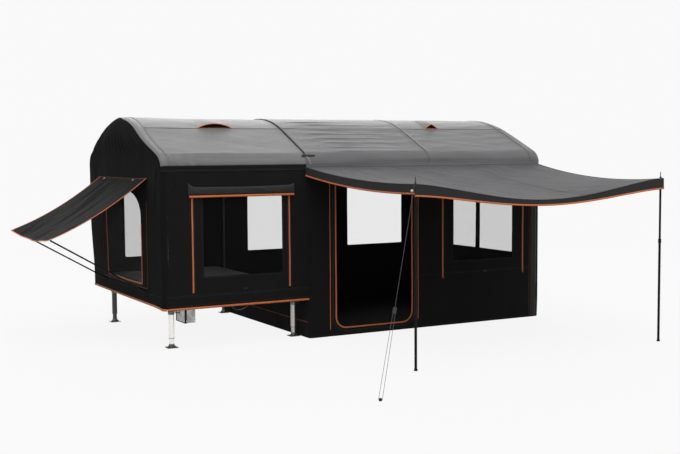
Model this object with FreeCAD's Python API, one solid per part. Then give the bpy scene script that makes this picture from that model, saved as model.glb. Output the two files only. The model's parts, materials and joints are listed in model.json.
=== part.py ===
import FreeCAD, Part
import math
import os

from FreeCAD import Vector

# A folding camper tent pitched for use: a bed pod on a steel deck with four telescopic legs,
# opening into a room that stands on the ground, with a poled awning in front of the room and
# a propped window awning on the pod's end wall.
# Millimetres. The origin is on the ground under the ridge, near where pod and room meet.
# +X runs along the ridge from pod to room, -Y faces the door side, +Z is up.

# Tent body
half_depth = 1240.0
ridge_height = 2370.0
eave_height = 1835.0
ridge_radius = 1500.0
eave_radius = 180.0
pod_left = -1690.0
room_left = -60.0
room_right = 3020.0
deck_height = 430.0
cloth = 5.0
gap = 0.3
end_rounding = 45.0
skirt_rounding = 30.0
roof_lap = 20.0
roof_end_lap = 15.0
junction_lap = 50.0
roof_over_pod = 25.0

# Openings in the front, rear and end walls
door_left = 268.0
door_right = 1232.0
door_sill = 87.0
door_head = 1765.0
door_corner = 120.0
window_corner = 14.0
window_sill = 738.0
window_head = 1541.0
pod_window_left = -1251.0
pod_window_right = -373.0
pod_rear_window_left = -1300.0
room_window_left = 1784.0
room_window_right = 2638.0
rear_window_left = 322.0
rear_window_right = 1180.0
end_pane_outer = 749.0
end_mullion = 90.0
end_pane_head = 1600.0
pod_end_window_half = 590.0
pod_end_window_sill = 640.0
pod_end_window_spring = 1290.0
pod_end_window_rise = 315.0
screen_thickness = 1.6

# Hoop frame
hoop_radius = 12.5
pod_hoop_inset = 60.0
junction_hoop_x = -20.0
middle_hoop_x = 1475.0
end_hoop_inset = 60.0

# Deck
deck_tube = 40.0
deck_tube_wall = 3.0
board_thickness = 12.0
mattress_thickness = 100.0
mattress_inset = 30.0
mattress_rounding = 18.0
cross_member_width = 50.0
bolt_member_x = (-1260.0, -480.0)
middle_member_x = -870.0
deck_bolt_radius = 5.5
deck_bolt_inset = 340.0

# Legs
leg_x = (pod_left + 169.0, room_left - 69.0)
leg_y = half_depth - 255.0
leg_outer_radius = 29.0
leg_bore_radius = 24.0
leg_inner_radius = 23.7
leg_inner_wall = 2.6
leg_sleeve_low = 95.0
leg_inner_top = 372.0
leg_plate_half = 55.0
leg_plate_thickness = 6.0
foot_half = 58.0
foot_thickness = 5.0
foot_corner = 12.0
foot_socket_wall = 4.0
foot_socket_height = 33.0
foot_rib_reach = 50.0
foot_rib_thickness = 5.0
foot_rib_rise = 26.4
clamp_height = 22.0
clamp_z = 378.0
clamp_wall = 7.0
clamp_bolt_radius = 5.0
clamp_bolt_reach = 20.0
clamp_bar_half = 19.0
clamp_bar_radius = 4.0

# Service box under the deck
service_setback = 400.0
service_length = 115.0
service_depth = 257.0
service_low = 213.0
service_height = 195.0
service_rounding = 6.0
bracket_thickness = 5.0
bracket_tab_half = 22.0
bracket_tab_inset = 64.0
bracket_overhang = 4.0

# Room awning
rail_depth = 10.0
rail_height = 18.0
rail_left_overhang = 40.0
rail_right_inset = 10.0
awning_front_left_inset = 38.0
awning_front_right_overhang = 2.0
awning_reach = 2010.0
pole_side_inset = 22.0
pole_front_inset = 22.9
awning_pole_height = 1700.0
awning_wall_drop = 3.0
awning_front_sag = 170.0
awning_side_sag = 80.0
awning_thickness = 4.0
awning_hem = 75.0
pole_lower_radius = 12.5
pole_upper_radius = 11.0
pole_joint_z = 1050.0
pole_collar_radius = 16.0
pole_collar_height = 42.0
pole_foot_radius = 17.0
pole_foot_height = 14.0
pole_foot_shoulder = 6.0
pole_spike_chamfer = 1.5
pole_spike_radius = 4.0
pole_spike_top = 1765.0
eyelet_radius = 5.5
awning_net_columns = 9
cloth_net_rows = 7

# Guy line
guy_radius = 2.0
guy_below_spike_top = 14.0
guy_ring_width = 5.0
guy_side_reach = 884.0
guy_front_reach = 855.0
runner_share = 0.625
runner_length = 60.0
runner_width = 30.0
runner_thickness = 9.0
peg_head_radius = 13.0
peg_head_height = 24.0
peg_head_chamfer = 6.0
loop_turn = math.radians(35)

# Pod end awning, held out by two struts
flap_half = 808.0
flap_wall_height = 1735.0
flap_reach = 1010.0
flap_drop = 587.0
flap_sag = 62.0
flap_edge_sag = 40.0
flap_thickness = 3.0
flap_net_columns = 7
strut_radius = 8.0
strut_base_radius = 13.0
strut_base_thickness = 12.0
strut_base_y = 691.0
strut_base_z = 560.0
strut_tip_radius = 10.0
strut_tip_inset = 22.0
strut_tip_drop = 13.6

# Rolled window cover over the pod's front window
roll_left = -1400.0
roll_right = -220.0
roll_low = 1541.0
roll_height = 113.0
roll_depth = 38.0
roll_rounding = 16.0

# Roof vent hoods: centre along the ridge, width and rise of each mouth
pod_vent = (-850.0, 460.0, 52.0)
room_vent = (1930.0, 160.0, 56.0)
vent_mouth_y = -580.0
vent_back_y = -180.0
vent_wall = 4.0
vent_skirt = 25.0
vent_sink = 30.0
vent_back_sink = 20.0
vent_back_rise = 8.0
vent_back_share = 0.38

# Ground sheet
floor_thickness = 5.0

pod_inset = cloth + gap
pod_wall_right = room_left + junction_lap
wall_top = eave_height - 2.0
awning_wall_height = eave_height - awning_wall_drop
frame_low = deck_height + 2.0
board_low = frame_low + deck_tube + gap
mattress_low = board_low + board_thickness + gap
service_left = bolt_member_x[0] - service_length / 2
service_front = service_setback - half_depth
rail_left = room_left - rail_left_overhang
rail_right = room_right - rail_right_inset
awning_root_y = -(half_depth + gap + cloth + gap + rail_depth + gap)
awning_front_y = awning_root_y - awning_reach
awning_front_left = room_left + awning_front_left_inset
awning_front_right = room_right + awning_front_right_overhang
pole_x = (awning_front_left + pole_side_inset, awning_front_right - pole_side_inset)
pole_y = awning_front_y + pole_front_inset
peg_x = pole_x[0] - guy_side_reach
peg_y = pole_y - guy_front_reach


def box(x0, x1, y0, y1, z0, z1):
    """Solid box between two corners."""
    return Part.makeBox(x1 - x0, y1 - y0, z1 - z0, Vector(x0, y0, z0))


def cylinder(start, end, radius):
    """Round bar from one point to another."""
    run = end - start
    return Part.makeCylinder(radius, run.Length, start, run)


def save(node, shape):
    """Write one sub-part and print its size for the log."""
    shape.exportStep("parts/%s.step" % node)
    print("%-24s solids %d  volume %.0f" % (node, len(shape.Solids), shape.Volume))


# Tent section: walls, eave arcs, straight slopes and a ridge arc, all tangent


def section_points(x, grow):
    """Tangent points and arc middles of the right half of the tent's section."""
    eave_centre = Vector(x, half_depth - eave_radius, eave_height)
    ridge_centre = Vector(x, 0, ridge_height - ridge_radius)
    rise = eave_centre.z - ridge_centre.z
    span = math.hypot(eave_centre.y, rise)
    slope = math.asin((ridge_radius - eave_radius) / span) - math.atan2(rise, eave_centre.y)

    def on_arc(centre, radius, angle):
        return centre + Vector(0, radius * math.sin(angle), radius * math.cos(angle))

    eave_r = eave_radius + grow
    ridge_r = ridge_radius + grow
    return {
        "eave": on_arc(eave_centre, eave_r, math.pi / 2),
        "eave_mid": on_arc(eave_centre, eave_r, (math.pi / 2 + slope) / 2),
        "slope_low": on_arc(eave_centre, eave_r, slope),
        "slope_high": on_arc(ridge_centre, ridge_r, slope),
        "ridge": on_arc(ridge_centre, ridge_r, 0),
    }


def mirrored(point):
    """The same point on the other side of the ridge plane."""
    return Vector(point.x, -point.y, point.z)


def arch_edges(x, grow, z_low):
    """Open path up one wall, over the ridge and down the other wall."""
    p = section_points(x, grow)
    foot = Vector(x, p["eave"].y, z_low)
    return [
        Part.makeLine(mirrored(foot), mirrored(p["eave"])),
        Part.Arc(mirrored(p["eave"]), mirrored(p["eave_mid"]), mirrored(p["slope_low"])).toShape(),
        Part.makeLine(mirrored(p["slope_low"]), mirrored(p["slope_high"])),
        Part.Arc(mirrored(p["slope_high"]), p["ridge"], p["slope_high"]).toShape(),
        Part.makeLine(p["slope_high"], p["slope_low"]),
        Part.Arc(p["slope_low"], p["eave_mid"], p["eave"]).toShape(),
        Part.makeLine(p["eave"], foot),
    ]


def tent_solid(x0, x1, grow, z_low):
    """The tent's section as a solid between two stations along the ridge."""
    edges = arch_edges(x0, grow, z_low)
    low = half_depth + grow
    edges.append(Part.makeLine(Vector(x0, low, z_low), Vector(x0, -low, z_low)))
    return Part.Face(Part.Wire(edges)).extrude(Vector(x1 - x0, 0, 0))


def round_end(solid, x_end, radius, z_low):
    """Round every edge of one end face except the one along the bottom."""
    picked = []
    for edge in solid.Edges:
        bounds = edge.BoundBox
        at_end = abs(bounds.XMin - x_end) < 0.01 and abs(bounds.XMax - x_end) < 0.01
        along_bottom = abs(bounds.ZMax - z_low) < 0.01
        if at_end and not along_bottom:
            picked.append(edge)
    return solid.makeFillet(radius, picked)


def tent_skin(x0, x1, grow, z_low, round_left, round_right):
    """Cloth skin of the tent section, open below, closed at each rounded end."""
    outer = tent_solid(x0, x1, grow, z_low)
    inner_x0 = x0 + cloth if round_left else x0 - cloth
    inner_x1 = x1 - cloth if round_right else x1 + cloth
    inner = tent_solid(inner_x0, inner_x1, grow - cloth, z_low - cloth)
    if round_left:
        outer = round_end(outer, x0, end_rounding, z_low)
        inner = round_end(inner, inner_x0, end_rounding - cloth, z_low - cloth)
    if round_right:
        outer = round_end(outer, x1, end_rounding, z_low)
        inner = round_end(inner, inner_x1, end_rounding - cloth, z_low - cloth)
    return outer.cut(inner)


def roof_shell(x0, x1, grow):
    """Roof skin from hem to hem; its inner face is grown by the given amount."""
    low = wall_top - roof_lap
    outer = tent_solid(x0, x1, grow + cloth, low)
    inner = tent_solid(x0 - cloth, x1 + cloth, grow, low - cloth)
    return outer.cut(inner)


# Window and door outlines


def rounded_rectangle(corner, along, up, width, height, radius, through):
    """Prism with four rounded corners; its sides run along two unit vectors."""
    side = 1.0 - math.sqrt(0.5)

    def at(u, v):
        return corner + along * u + up * v

    edges = [
        Part.makeLine(at(radius, 0), at(width - radius, 0)),
        Part.Arc(at(width - radius, 0), at(width - radius * side, radius * side),
                 at(width, radius)).toShape(),
        Part.makeLine(at(width, radius), at(width, height - radius)),
        Part.Arc(at(width, height - radius), at(width - radius * side, height - radius * side),
                 at(width - radius, height)).toShape(),
        Part.makeLine(at(width - radius, height), at(radius, height)),
        Part.Arc(at(radius, height), at(radius * side, height - radius * side),
                 at(0, height - radius)).toShape(),
        Part.makeLine(at(0, height - radius), at(0, radius)),
        Part.Arc(at(0, radius), at(radius * side, radius * side), at(radius, 0)).toShape(),
    ]
    return Part.Face(Part.Wire(edges)).extrude(through)


def long_wall_opening(x0, x1, z0, z1, radius, y0, y1, shrink=0.0):
    """Rounded opening in a front or rear wall, or the screen that fills it."""
    return rounded_rectangle(Vector(x0 + shrink, y0, z0 + shrink), Vector(1, 0, 0), Vector(0, 0, 1),
                             x1 - x0 - 2 * shrink, z1 - z0 - 2 * shrink, radius - shrink,
                             Vector(0, y1 - y0, 0))


def end_pane(y0, y1, x0, x1, shrink=0.0):
    """One of the two panes in the room's end wall."""
    return rounded_rectangle(Vector(x0, y0 + shrink, window_sill + shrink), Vector(0, 1, 0),
                             Vector(0, 0, 1), y1 - y0 - 2 * shrink,
                             end_pane_head - window_sill - 2 * shrink, window_corner - shrink,
                             Vector(x1 - x0, 0, 0))


def arched_window(x0, x1, shrink=0.0):
    """Pod end window: rounded sill corners and a half-ellipse head."""
    half = pod_end_window_half - shrink
    low = pod_end_window_sill + shrink
    spring = pod_end_window_spring
    rise = pod_end_window_rise - shrink
    radius = window_corner - shrink
    side = radius * (1.0 - math.sqrt(0.5))
    ellipse = Part.Ellipse(Vector(x0, half, spring), Vector(x0, 0, spring + rise),
                           Vector(x0, 0, spring))
    head = ellipse.toShape().common(box(x0 - 1, x0 + 1, -half - 1, half + 1, spring, spring + rise + 1))
    edges = [
        Part.makeLine(Vector(x0, half, spring), Vector(x0, half, low + radius)),
        Part.Arc(Vector(x0, half, low + radius), Vector(x0, half - side, low + side),
                 Vector(x0, half - radius, low)).toShape(),
        Part.makeLine(Vector(x0, half - radius, low), Vector(x0, radius - half, low)),
        Part.Arc(Vector(x0, radius - half, low), Vector(x0, side - half, low + side),
                 Vector(x0, -half, low + radius)).toShape(),
        Part.makeLine(Vector(x0, -half, low + radius), Vector(x0, -half, spring)),
    ]
    outline = Part.Wire(Part.__sortEdges__(edges + head.Edges))
    return Part.Face(outline).extrude(Vector(x1 - x0, 0, 0))


# Walls, roofs and screens


def build_pod():
    """Bed pod skin, split where the real panels meet, and its screens."""
    far = 4 * half_depth
    skin = tent_skin(pod_left, pod_wall_right, -pod_inset, deck_height, True, False)
    wall_x = pod_left + end_rounding
    end_wall = skin.common(box(pod_left - 1, wall_x, -far, far, 0, far))
    end_wall = end_wall.cut(arched_window(pod_left - 1, pod_left + cloth + 1))
    front = skin.common(box(wall_x, far, -far, 0, 0, wall_top))
    rear = skin.common(box(wall_x, far, 0, far, 0, wall_top))
    face = half_depth - pod_inset
    window = (pod_window_left, pod_window_right, window_sill, window_head, window_corner)
    rear_window = (pod_rear_window_left, pod_window_right, window_sill, window_head, window_corner)
    save("pod_end_wall", end_wall)
    save("pod_front_wall", front.cut(long_wall_opening(*window, -face - 1, -face + cloth + 1)))
    save("pod_rear_wall", rear.cut(long_wall_opening(*rear_window, face - cloth - 1, face + 1)))
    save("pod_roof", roof_shell(pod_left + end_rounding - roof_end_lap, room_left - gap, -cloth))
    inset = (cloth - screen_thickness) / 2
    save("pod_screens", Part.makeCompound([
        long_wall_opening(*window, -face + inset, -face + inset + screen_thickness, gap),
        long_wall_opening(*rear_window, face - inset - screen_thickness, face - inset, gap),
        arched_window(pod_left + inset, pod_left + inset + screen_thickness, gap),
    ]))


def build_room():
    """Room skin: front with the doorway, rear, end wall, low wall under the deck and roof."""
    far = 4 * half_depth
    skin = tent_skin(room_left, room_right, 0.0, 0.0, False, True)
    wall_right = room_right - end_rounding
    end_wall = skin.common(box(wall_right, room_right + 1, -far, far, 0, far))
    panes = [(-end_pane_outer, -end_mullion / 2), (end_mullion / 2, end_pane_outer)]
    for y0, y1 in panes:
        end_wall = end_wall.cut(end_pane(y0, y1, room_right - cloth - 1, room_right + 1))
    long_walls = skin.common(box(room_left, wall_right, -far, far, 0, wall_top))
    corner = box(room_left - 1, room_left + skirt_rounding, -far, far, -1, deck_height)
    long_walls = long_walls.cut(corner)
    front = long_walls.common(box(room_left, wall_right, -far, 0, 0, far))
    rear = long_walls.common(box(room_left, wall_right, 0, far, 0, far))
    doorway = (door_left, door_right, door_sill, door_head, door_corner)
    front_window = (room_window_left, room_window_right, window_sill, window_head, window_corner)
    rear_left = (rear_window_left, rear_window_right, window_sill, window_head, window_corner)
    outside = half_depth + 1
    inside = half_depth - cloth - 1
    front = front.cut(long_wall_opening(*doorway, -outside, -inside))
    front = front.cut(long_wall_opening(*front_window, -outside, -inside))
    rear = rear.cut(long_wall_opening(*rear_left, inside, outside))
    rear = rear.cut(long_wall_opening(*front_window, inside, outside))
    save("room_front_wall", front)
    save("room_rear_wall", rear)
    save("room_end_wall", end_wall)
    save("room_roof", roof_shell(room_left - roof_over_pod, wall_right + roof_end_lap, gap))
    inset = (cloth - screen_thickness) / 2
    front_y = -half_depth + inset
    rear_y = half_depth - inset - screen_thickness
    end_x = room_right - inset - screen_thickness
    screens = [
        long_wall_opening(*front_window, front_y, front_y + screen_thickness, gap),
        long_wall_opening(*rear_left, rear_y, rear_y + screen_thickness, gap),
        long_wall_opening(*front_window, rear_y, rear_y + screen_thickness, gap),
    ]
    screens += [end_pane(y0, y1, end_x, end_x + screen_thickness, gap) for y0, y1 in panes]
    save("room_screens", Part.makeCompound(screens))
    save("room_low_wall", low_wall())
    save("ground_sheet", box(room_left + cloth + gap, room_right - cloth - gap,
                             -(half_depth - cloth - gap), half_depth - cloth - gap, 0, floor_thickness)
         .cut(sheet_corners()))


def low_wall():
    """Wall between the ground and the deck, with its rounded corners."""
    top = deck_height - gap
    x1 = room_left + skirt_rounding

    def block(inset):
        solid = box(room_left + inset, x1 + 2 * skirt_rounding, inset - half_depth,
                    half_depth - inset, -inset, top + inset)
        corners = [edge for edge in solid.Edges
                   if edge.BoundBox.ZLength > top / 2 and edge.BoundBox.XMax < x1]
        return solid.makeFillet(skirt_rounding - inset, corners)

    wall = block(0).cut(block(cloth))
    return wall.common(box(room_left, x1, -half_depth, half_depth, 0, top))


def sheet_corners():
    """Clears the ground sheet's four corners from the rounded corners of the walls."""
    reach = end_rounding
    cutters = []
    for y_side in (-1, 1):
        for x in (room_left, room_right):
            corner = Vector(x, y_side * half_depth, -1)
            cutters.append(Part.makeCylinder(reach, floor_thickness + 2, corner))
    return cutters[0].fuse(cutters[1:])


# Hoops


def hoop(x, grow, foot_z):
    """Bent tube that carries the cloth: straight bars joined by tangent bends."""
    spans = []
    for edge in arch_edges(x, grow, foot_z):
        start = edge.valueAt(edge.FirstParameter)
        ring = Part.Face(Part.Wire(Part.makeCircle(hoop_radius, start, edge.tangentAt(edge.FirstParameter))))
        if isinstance(edge.Curve, Part.Line):
            spans.append(ring.extrude(edge.valueAt(edge.LastParameter) - start))
        else:
            turn = math.degrees(edge.LastParameter - edge.FirstParameter)
            spans.append(ring.revolve(edge.Curve.Center, edge.Curve.Axis, turn))
    return spans[0].fuse(spans[1:]).removeSplitter()


def build_hoops():
    """Four hoops: two carry the pod, two carry the room."""
    pod_grow = -(pod_inset + cloth + gap + hoop_radius)
    room_grow = -(cloth + gap + hoop_radius)
    floor_z = floor_thickness + gap
    save("hoop_pod_end", hoop(pod_left + pod_hoop_inset, pod_grow, mattress_low))
    save("hoop_junction", hoop(junction_hoop_x, pod_grow, floor_z))
    save("hoop_room_middle", hoop(middle_hoop_x, room_grow, floor_z))
    save("hoop_room_end", hoop(room_right - end_hoop_inset, room_grow, floor_z))


# Deck, mattress, legs and service box


def deck_block(inset, z0, z1):
    """Block with the deck's outline: square towards the room, rounded at the pod's end."""
    x0 = pod_left + cloth + gap + inset
    half = half_depth - pod_inset - cloth - gap - inset
    solid = box(x0, room_left - cloth - inset, -half, half, z0, z1)
    corners = [edge for edge in solid.Edges
               if edge.BoundBox.ZLength > (z1 - z0) / 2 and edge.BoundBox.XMax < x0 + 1]
    return solid.makeFillet(end_rounding, corners)


def build_deck():
    """Welded tube frame with its cross members, plywood board and mattress."""
    high = frame_low + deck_tube
    frame = deck_block(0, frame_low, high).cut(deck_block(deck_tube, frame_low - 1, high + 1))
    hollow = deck_block(deck_tube_wall, frame_low + deck_tube_wall, high - deck_tube_wall)
    hollow = hollow.cut(deck_block(deck_tube - deck_tube_wall, frame_low, high))
    members = []
    half = half_depth - pod_inset - cloth - gap - deck_tube / 2
    for x in leg_x + bolt_member_x + (middle_member_x,):
        member = box(x - cross_member_width / 2, x + cross_member_width / 2, -half, half,
                     frame_low, high)
        channel = box(x - cross_member_width / 2 + deck_tube_wall,
                      x + cross_member_width / 2 - deck_tube_wall, -half - 1, half + 1,
                      frame_low + deck_tube_wall, high + 1)
        members.append(member.cut(channel))
    frame = frame.fuse(members).cut(hollow)
    for x in bolt_member_x:
        for side in (-1, 1):
            hole = Part.makeCylinder(deck_bolt_radius, deck_tube,
                                     Vector(x, side * (half_depth - deck_bolt_inset), frame_low - 1))
            frame = frame.cut(hole)
    save("deck_frame", frame)
    save("deck_board", deck_block(0, board_low, board_low + board_thickness))
    mattress = deck_block(mattress_inset, mattress_low, mattress_low + mattress_thickness)
    rims = [edge for edge in mattress.Edges if edge.BoundBox.ZLength < 1]
    save("mattress", mattress.makeFillet(mattress_rounding, rims))


def leg_sleeve(x, y):
    """Outer tube welded to the plate that bolts under the deck frame."""
    plate_z = frame_low - gap - leg_plate_thickness
    plate = box(x - leg_plate_half, x + leg_plate_half, y - leg_plate_half, y + leg_plate_half,
                plate_z, plate_z + leg_plate_thickness)
    upright = [edge for edge in plate.Edges if edge.BoundBox.ZLength > leg_plate_thickness / 2]
    plate = plate.makeFillet(foot_corner, upright)
    tube = Part.makeCylinder(leg_outer_radius, plate_z - leg_sleeve_low, Vector(x, y, leg_sleeve_low))
    bore = Part.makeCylinder(leg_bore_radius, plate_z - leg_sleeve_low, Vector(x, y, leg_sleeve_low))
    return plate.fuse(tube.cut(bore)).removeSplitter()


def leg_inner(x, y):
    """Inner tube that slides in the sleeve and stands in the foot's socket."""
    low = foot_thickness + gap
    tube = Part.makeCylinder(leg_inner_radius, leg_inner_top - low, Vector(x, y, low))
    bore = Part.makeCylinder(leg_inner_radius - leg_inner_wall, leg_inner_top - low + 2,
                             Vector(x, y, low - 1))
    return tube.cut(bore)


def leg_foot(x, y):
    """Square foot plate with a round socket and four ribs."""
    plate = box(x - foot_half, x + foot_half, y - foot_half, y + foot_half, 0, foot_thickness)
    upright = [edge for edge in plate.Edges if edge.BoundBox.ZLength > foot_thickness / 2]
    plate = plate.makeFillet(foot_corner, upright)
    bore = leg_inner_radius + gap
    socket = Part.makeCylinder(bore + foot_socket_wall, foot_socket_height, Vector(x, y, foot_thickness))
    inside = bore + foot_socket_wall / 2
    rib = Part.Face(Part.makePolygon([
        Vector(inside, 0, foot_thickness), Vector(foot_rib_reach, 0, foot_thickness),
        Vector(inside, 0, foot_thickness + foot_rib_rise), Vector(inside, 0, foot_thickness)]))
    rib = rib.extrude(Vector(0, foot_rib_thickness, 0))
    rib.translate(Vector(0, -foot_rib_thickness / 2, 0))
    ribs = []
    for turn in range(4):
        arm = rib.copy()
        arm.rotate(Vector(0, 0, 0), Vector(0, 0, 1), 90 * turn)
        arm.translate(Vector(x, y, 0))
        ribs.append(arm)
    foot = plate.fuse([socket] + ribs)
    return foot.cut(Part.makeCylinder(bore, foot_socket_height + 1, Vector(x, y, foot_thickness)))


def leg_clamp(x, y, side):
    """Split collar round the sleeve with its bolt and tee bar, pointing out of the deck."""
    bore = leg_outer_radius + gap
    collar = Part.makeCylinder(bore + clamp_wall, clamp_height, Vector(x, y, clamp_z))
    collar = collar.cut(Part.makeCylinder(bore, clamp_height, Vector(x, y, clamp_z)))
    mid = clamp_z + clamp_height / 2
    start = Vector(x, y + side * (bore + clamp_wall / 2), mid)
    end = Vector(x, y + side * (bore + clamp_wall + clamp_bolt_reach), mid)
    bolt = cylinder(start, end, clamp_bolt_radius)
    bar = cylinder(end - Vector(clamp_bar_half, 0, 0), end + Vector(clamp_bar_half, 0, 0), clamp_bar_radius)
    return collar.fuse([bolt, bar])


def build_legs():
    """Four telescopic legs, one under each corner of the deck."""
    clamps = []
    for end, x in zip(("left", "right"), leg_x):
        for face, side in (("front", -1), ("rear", 1)):
            y = side * leg_y
            save("leg_sleeve_%s_%s" % (face, end), leg_sleeve(x, y))
            save("leg_tube_%s_%s" % (face, end), leg_inner(x, y))
            save("leg_foot_%s_%s" % (face, end), leg_foot(x, y))
            clamps.append(leg_clamp(x, y, side))
    save("leg_clamps", Part.makeCompound(clamps))


def build_service_box():
    """Closed box hung under the first cross member on a folded bracket."""
    right = service_left + service_length
    back = service_front + service_depth
    top = service_low + service_height
    body = box(service_left, right, service_front, back, service_low, top)
    save("service_box", body.makeFillet(service_rounding, body.Edges))
    low = top + gap
    plate = box(service_left - bracket_overhang, right + bracket_overhang,
                service_front + service_rounding, back - service_rounding, low, low + bracket_thickness)
    tabs = []
    for y in (service_front + bracket_tab_inset, back - bracket_tab_inset):
        tabs.append(box(bolt_member_x[0] - bracket_tab_half, bolt_member_x[0] + bracket_tab_half,
                        y - bracket_tab_half, y + bracket_tab_half, low + bracket_thickness / 2,
                        frame_low - gap))
    save("service_bracket", plate.fuse(tabs))


# Awnings


def cloth_patch(height, corners, thickness, columns, rows):
    """Sheet of cloth as a solid: a smooth surface through a regular net, with its thickness."""
    root_left, root_right, front_left, front_right = corners
    net = []
    for i in range(columns):
        u = i / (columns - 1)
        strip = []
        for j in range(rows):
            v = j / (rows - 1)
            root = root_left + (root_right - root_left) * u
            front = front_left + (front_right - front_left) * u
            point = root + (front - root) * v
            strip.append(Vector(point.x, point.y, height(u, v)))
        net.append(strip)
    surface = Part.BSplineSurface()
    surface.interpolate(net)
    return surface, surface.toShape().extrude(Vector(0, 0, -thickness))


def hem_strip(curve, drop, outward):
    """Cloth strip that hangs just outside one edge of a sheet."""
    face = curve.toShape().extrude(Vector(0, 0, -drop))
    face.translate(outward * gap)
    return face.extrude(outward * awning_thickness)


def awning_height(u, v):
    """Top of the room awning: straight at the rail, sagging between the poles."""
    straight = awning_wall_height + (awning_pole_height - awning_wall_height) * v
    between_poles = awning_front_sag * 4 * u * (1 - u) * v ** 1.4
    along_sides = awning_side_sag * 4 * v * (1 - v)
    return straight - between_poles - along_sides


def build_awning():
    """Room awning with hanging hems, its rail, two poles and the guy line."""
    corners = (Vector(rail_left, awning_root_y, 0), Vector(rail_right, awning_root_y, 0),
               Vector(awning_front_left, awning_front_y, 0), Vector(awning_front_right, awning_front_y, 0))
    surface, sheet = cloth_patch(awning_height, corners, awning_thickness, awning_net_columns, cloth_net_rows)
    hems = [
        hem_strip(surface.vIso(1.0), awning_hem, Vector(0, -1, 0)),
        hem_strip(surface.uIso(0.0), awning_hem, Vector(-1, 0, 0)),
        hem_strip(surface.uIso(1.0), awning_hem, Vector(1, 0, 0)),
    ]
    for x in pole_x:
        eyelet = Part.makeCylinder(eyelet_radius, awning_reach, Vector(x, pole_y, awning_pole_height / 2))
        sheet = sheet.cut(eyelet)
    save("awning", Part.makeCompound([sheet] + hems))
    rail_y = awning_root_y + gap
    rail_top = eave_height - 1.0
    save("awning_rail", box(rail_left, rail_right, rail_y, rail_y + rail_depth,
                            rail_top - rail_height, rail_top))
    for name, x in zip(("left", "right"), pole_x):
        save("awning_pole_%s" % name, awning_pole(x, pole_y, pole_seat(x, pole_y)))
    build_guy()


def awning_top(x, y):
    """Height of the awning's upper face over a point on the ground."""
    v = (awning_root_y - y) / awning_reach
    left = rail_left + (awning_front_left - rail_left) * v
    right = rail_right + (awning_front_right - rail_right) * v
    return awning_height((x - left) / (right - left), v)


def pole_seat(x, y):
    """Height of the pole's shoulder: just under the lowest cloth above its rim."""
    turns = [math.radians(15 * step) for step in range(24)]
    rim = [awning_top(x + pole_upper_radius * math.cos(turn), y + pole_upper_radius * math.sin(turn))
           for turn in turns]
    return min(rim) - awning_thickness - gap


def awning_pole(x, y, seat):
    """Two-part pole: foot, lower tube, clamp collar, upper tube and spike."""
    collar_top = pole_joint_z + pole_collar_height / 2
    collar_low = pole_joint_z - pole_collar_height / 2
    outline = Part.makePolygon([
        Vector(0, 0, 0), Vector(pole_foot_radius, 0, 0), Vector(pole_foot_radius, 0, pole_foot_height),
        Vector(pole_lower_radius, 0, pole_foot_height + pole_foot_shoulder), Vector(pole_lower_radius, 0, collar_low),
        Vector(pole_collar_radius, 0, collar_low), Vector(pole_collar_radius, 0, collar_top),
        Vector(pole_upper_radius, 0, collar_top), Vector(pole_upper_radius, 0, seat),
        Vector(pole_spike_radius, 0, seat), Vector(pole_spike_radius, 0, pole_spike_top - 2 * pole_spike_chamfer),
        Vector(pole_spike_radius - pole_spike_chamfer, 0, pole_spike_top), Vector(0, 0, pole_spike_top),
        Vector(0, 0, 0)])
    pole = Part.Face(outline).revolve(Vector(0, 0, 0), Vector(0, 0, 1), 360)
    pole.translate(Vector(x, y, 0))
    return pole


def flat_ring(centre, inner, outer, thickness):
    """Turn of cord round an upright bar, as a flat ring."""
    low = centre - Vector(0, 0, thickness / 2)
    return Part.makeCylinder(outer, thickness, low).cut(Part.makeCylinder(inner, thickness, low))


def build_guy():
    """Guy line from the left pole's spike to the peg, with its runner."""
    top = Vector(pole_x[0], pole_y, pole_spike_top - guy_below_spike_top)
    peg = Vector(peg_x, peg_y, peg_head_height / 2)
    line = (peg - top).normalize()
    outward = Vector(line.x, line.y, 0).normalize()
    across = line.cross(Vector(0, 0, 1)).normalize()
    middle = top + (peg - top) * runner_share
    half = line * (runner_length / 2)
    top_bore = pole_spike_radius + gap
    ring = flat_ring(top, top_bore, top_bore + guy_ring_width, 2 * guy_radius)
    upper = cylinder(top + outward * (top_bore + guy_ring_width / 2), middle - half - line * gap, guy_radius)
    spread = across * (runner_width / 2 - 2 * guy_radius)
    peg_bore = peg_head_radius + gap
    loop = flat_ring(peg, peg_bore, peg_bore + guy_ring_width, 2 * guy_radius)
    strands = []
    for side in (-1, 1):
        start = middle + half + line * gap + spread * side
        toward = outward * -math.cos(loop_turn) + across * (side * math.sin(loop_turn))
        strands.append(cylinder(start, peg + toward * (peg_bore + guy_ring_width / 2), guy_radius))
    save("guy_line", Part.makeCompound([ring.fuse(upper), loop.fuse(strands)]))
    normal = across.cross(line)
    corner = middle - half - across * (runner_width / 2) - normal * (runner_thickness / 2)
    save("guy_runner", rounded_rectangle(corner, across, line, runner_width, runner_length,
                                         runner_thickness / 2, normal * runner_thickness))
    head = Part.makePolygon([
        Vector(0, 0, 0), Vector(peg_head_radius, 0, 0),
        Vector(peg_head_radius, 0, peg_head_height - peg_head_chamfer),
        Vector(peg_head_radius - peg_head_chamfer, 0, peg_head_height),
        Vector(0, 0, peg_head_height), Vector(0, 0, 0)])
    head = Part.Face(head).revolve(Vector(0, 0, 0), Vector(0, 0, 1), 360)
    head.translate(Vector(peg_x, peg_y, 0))
    save("guy_peg", head)


def flap_height(u, v):
    """Top of the pod's end awning: hung from the wall, slack towards its outer edge."""
    straight = flap_wall_height - flap_drop * v
    belly = flap_sag * 4 * v * (1 - v)
    slack = flap_edge_sag * 4 * u * (1 - u) * v ** 2
    return straight - belly - slack


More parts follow.
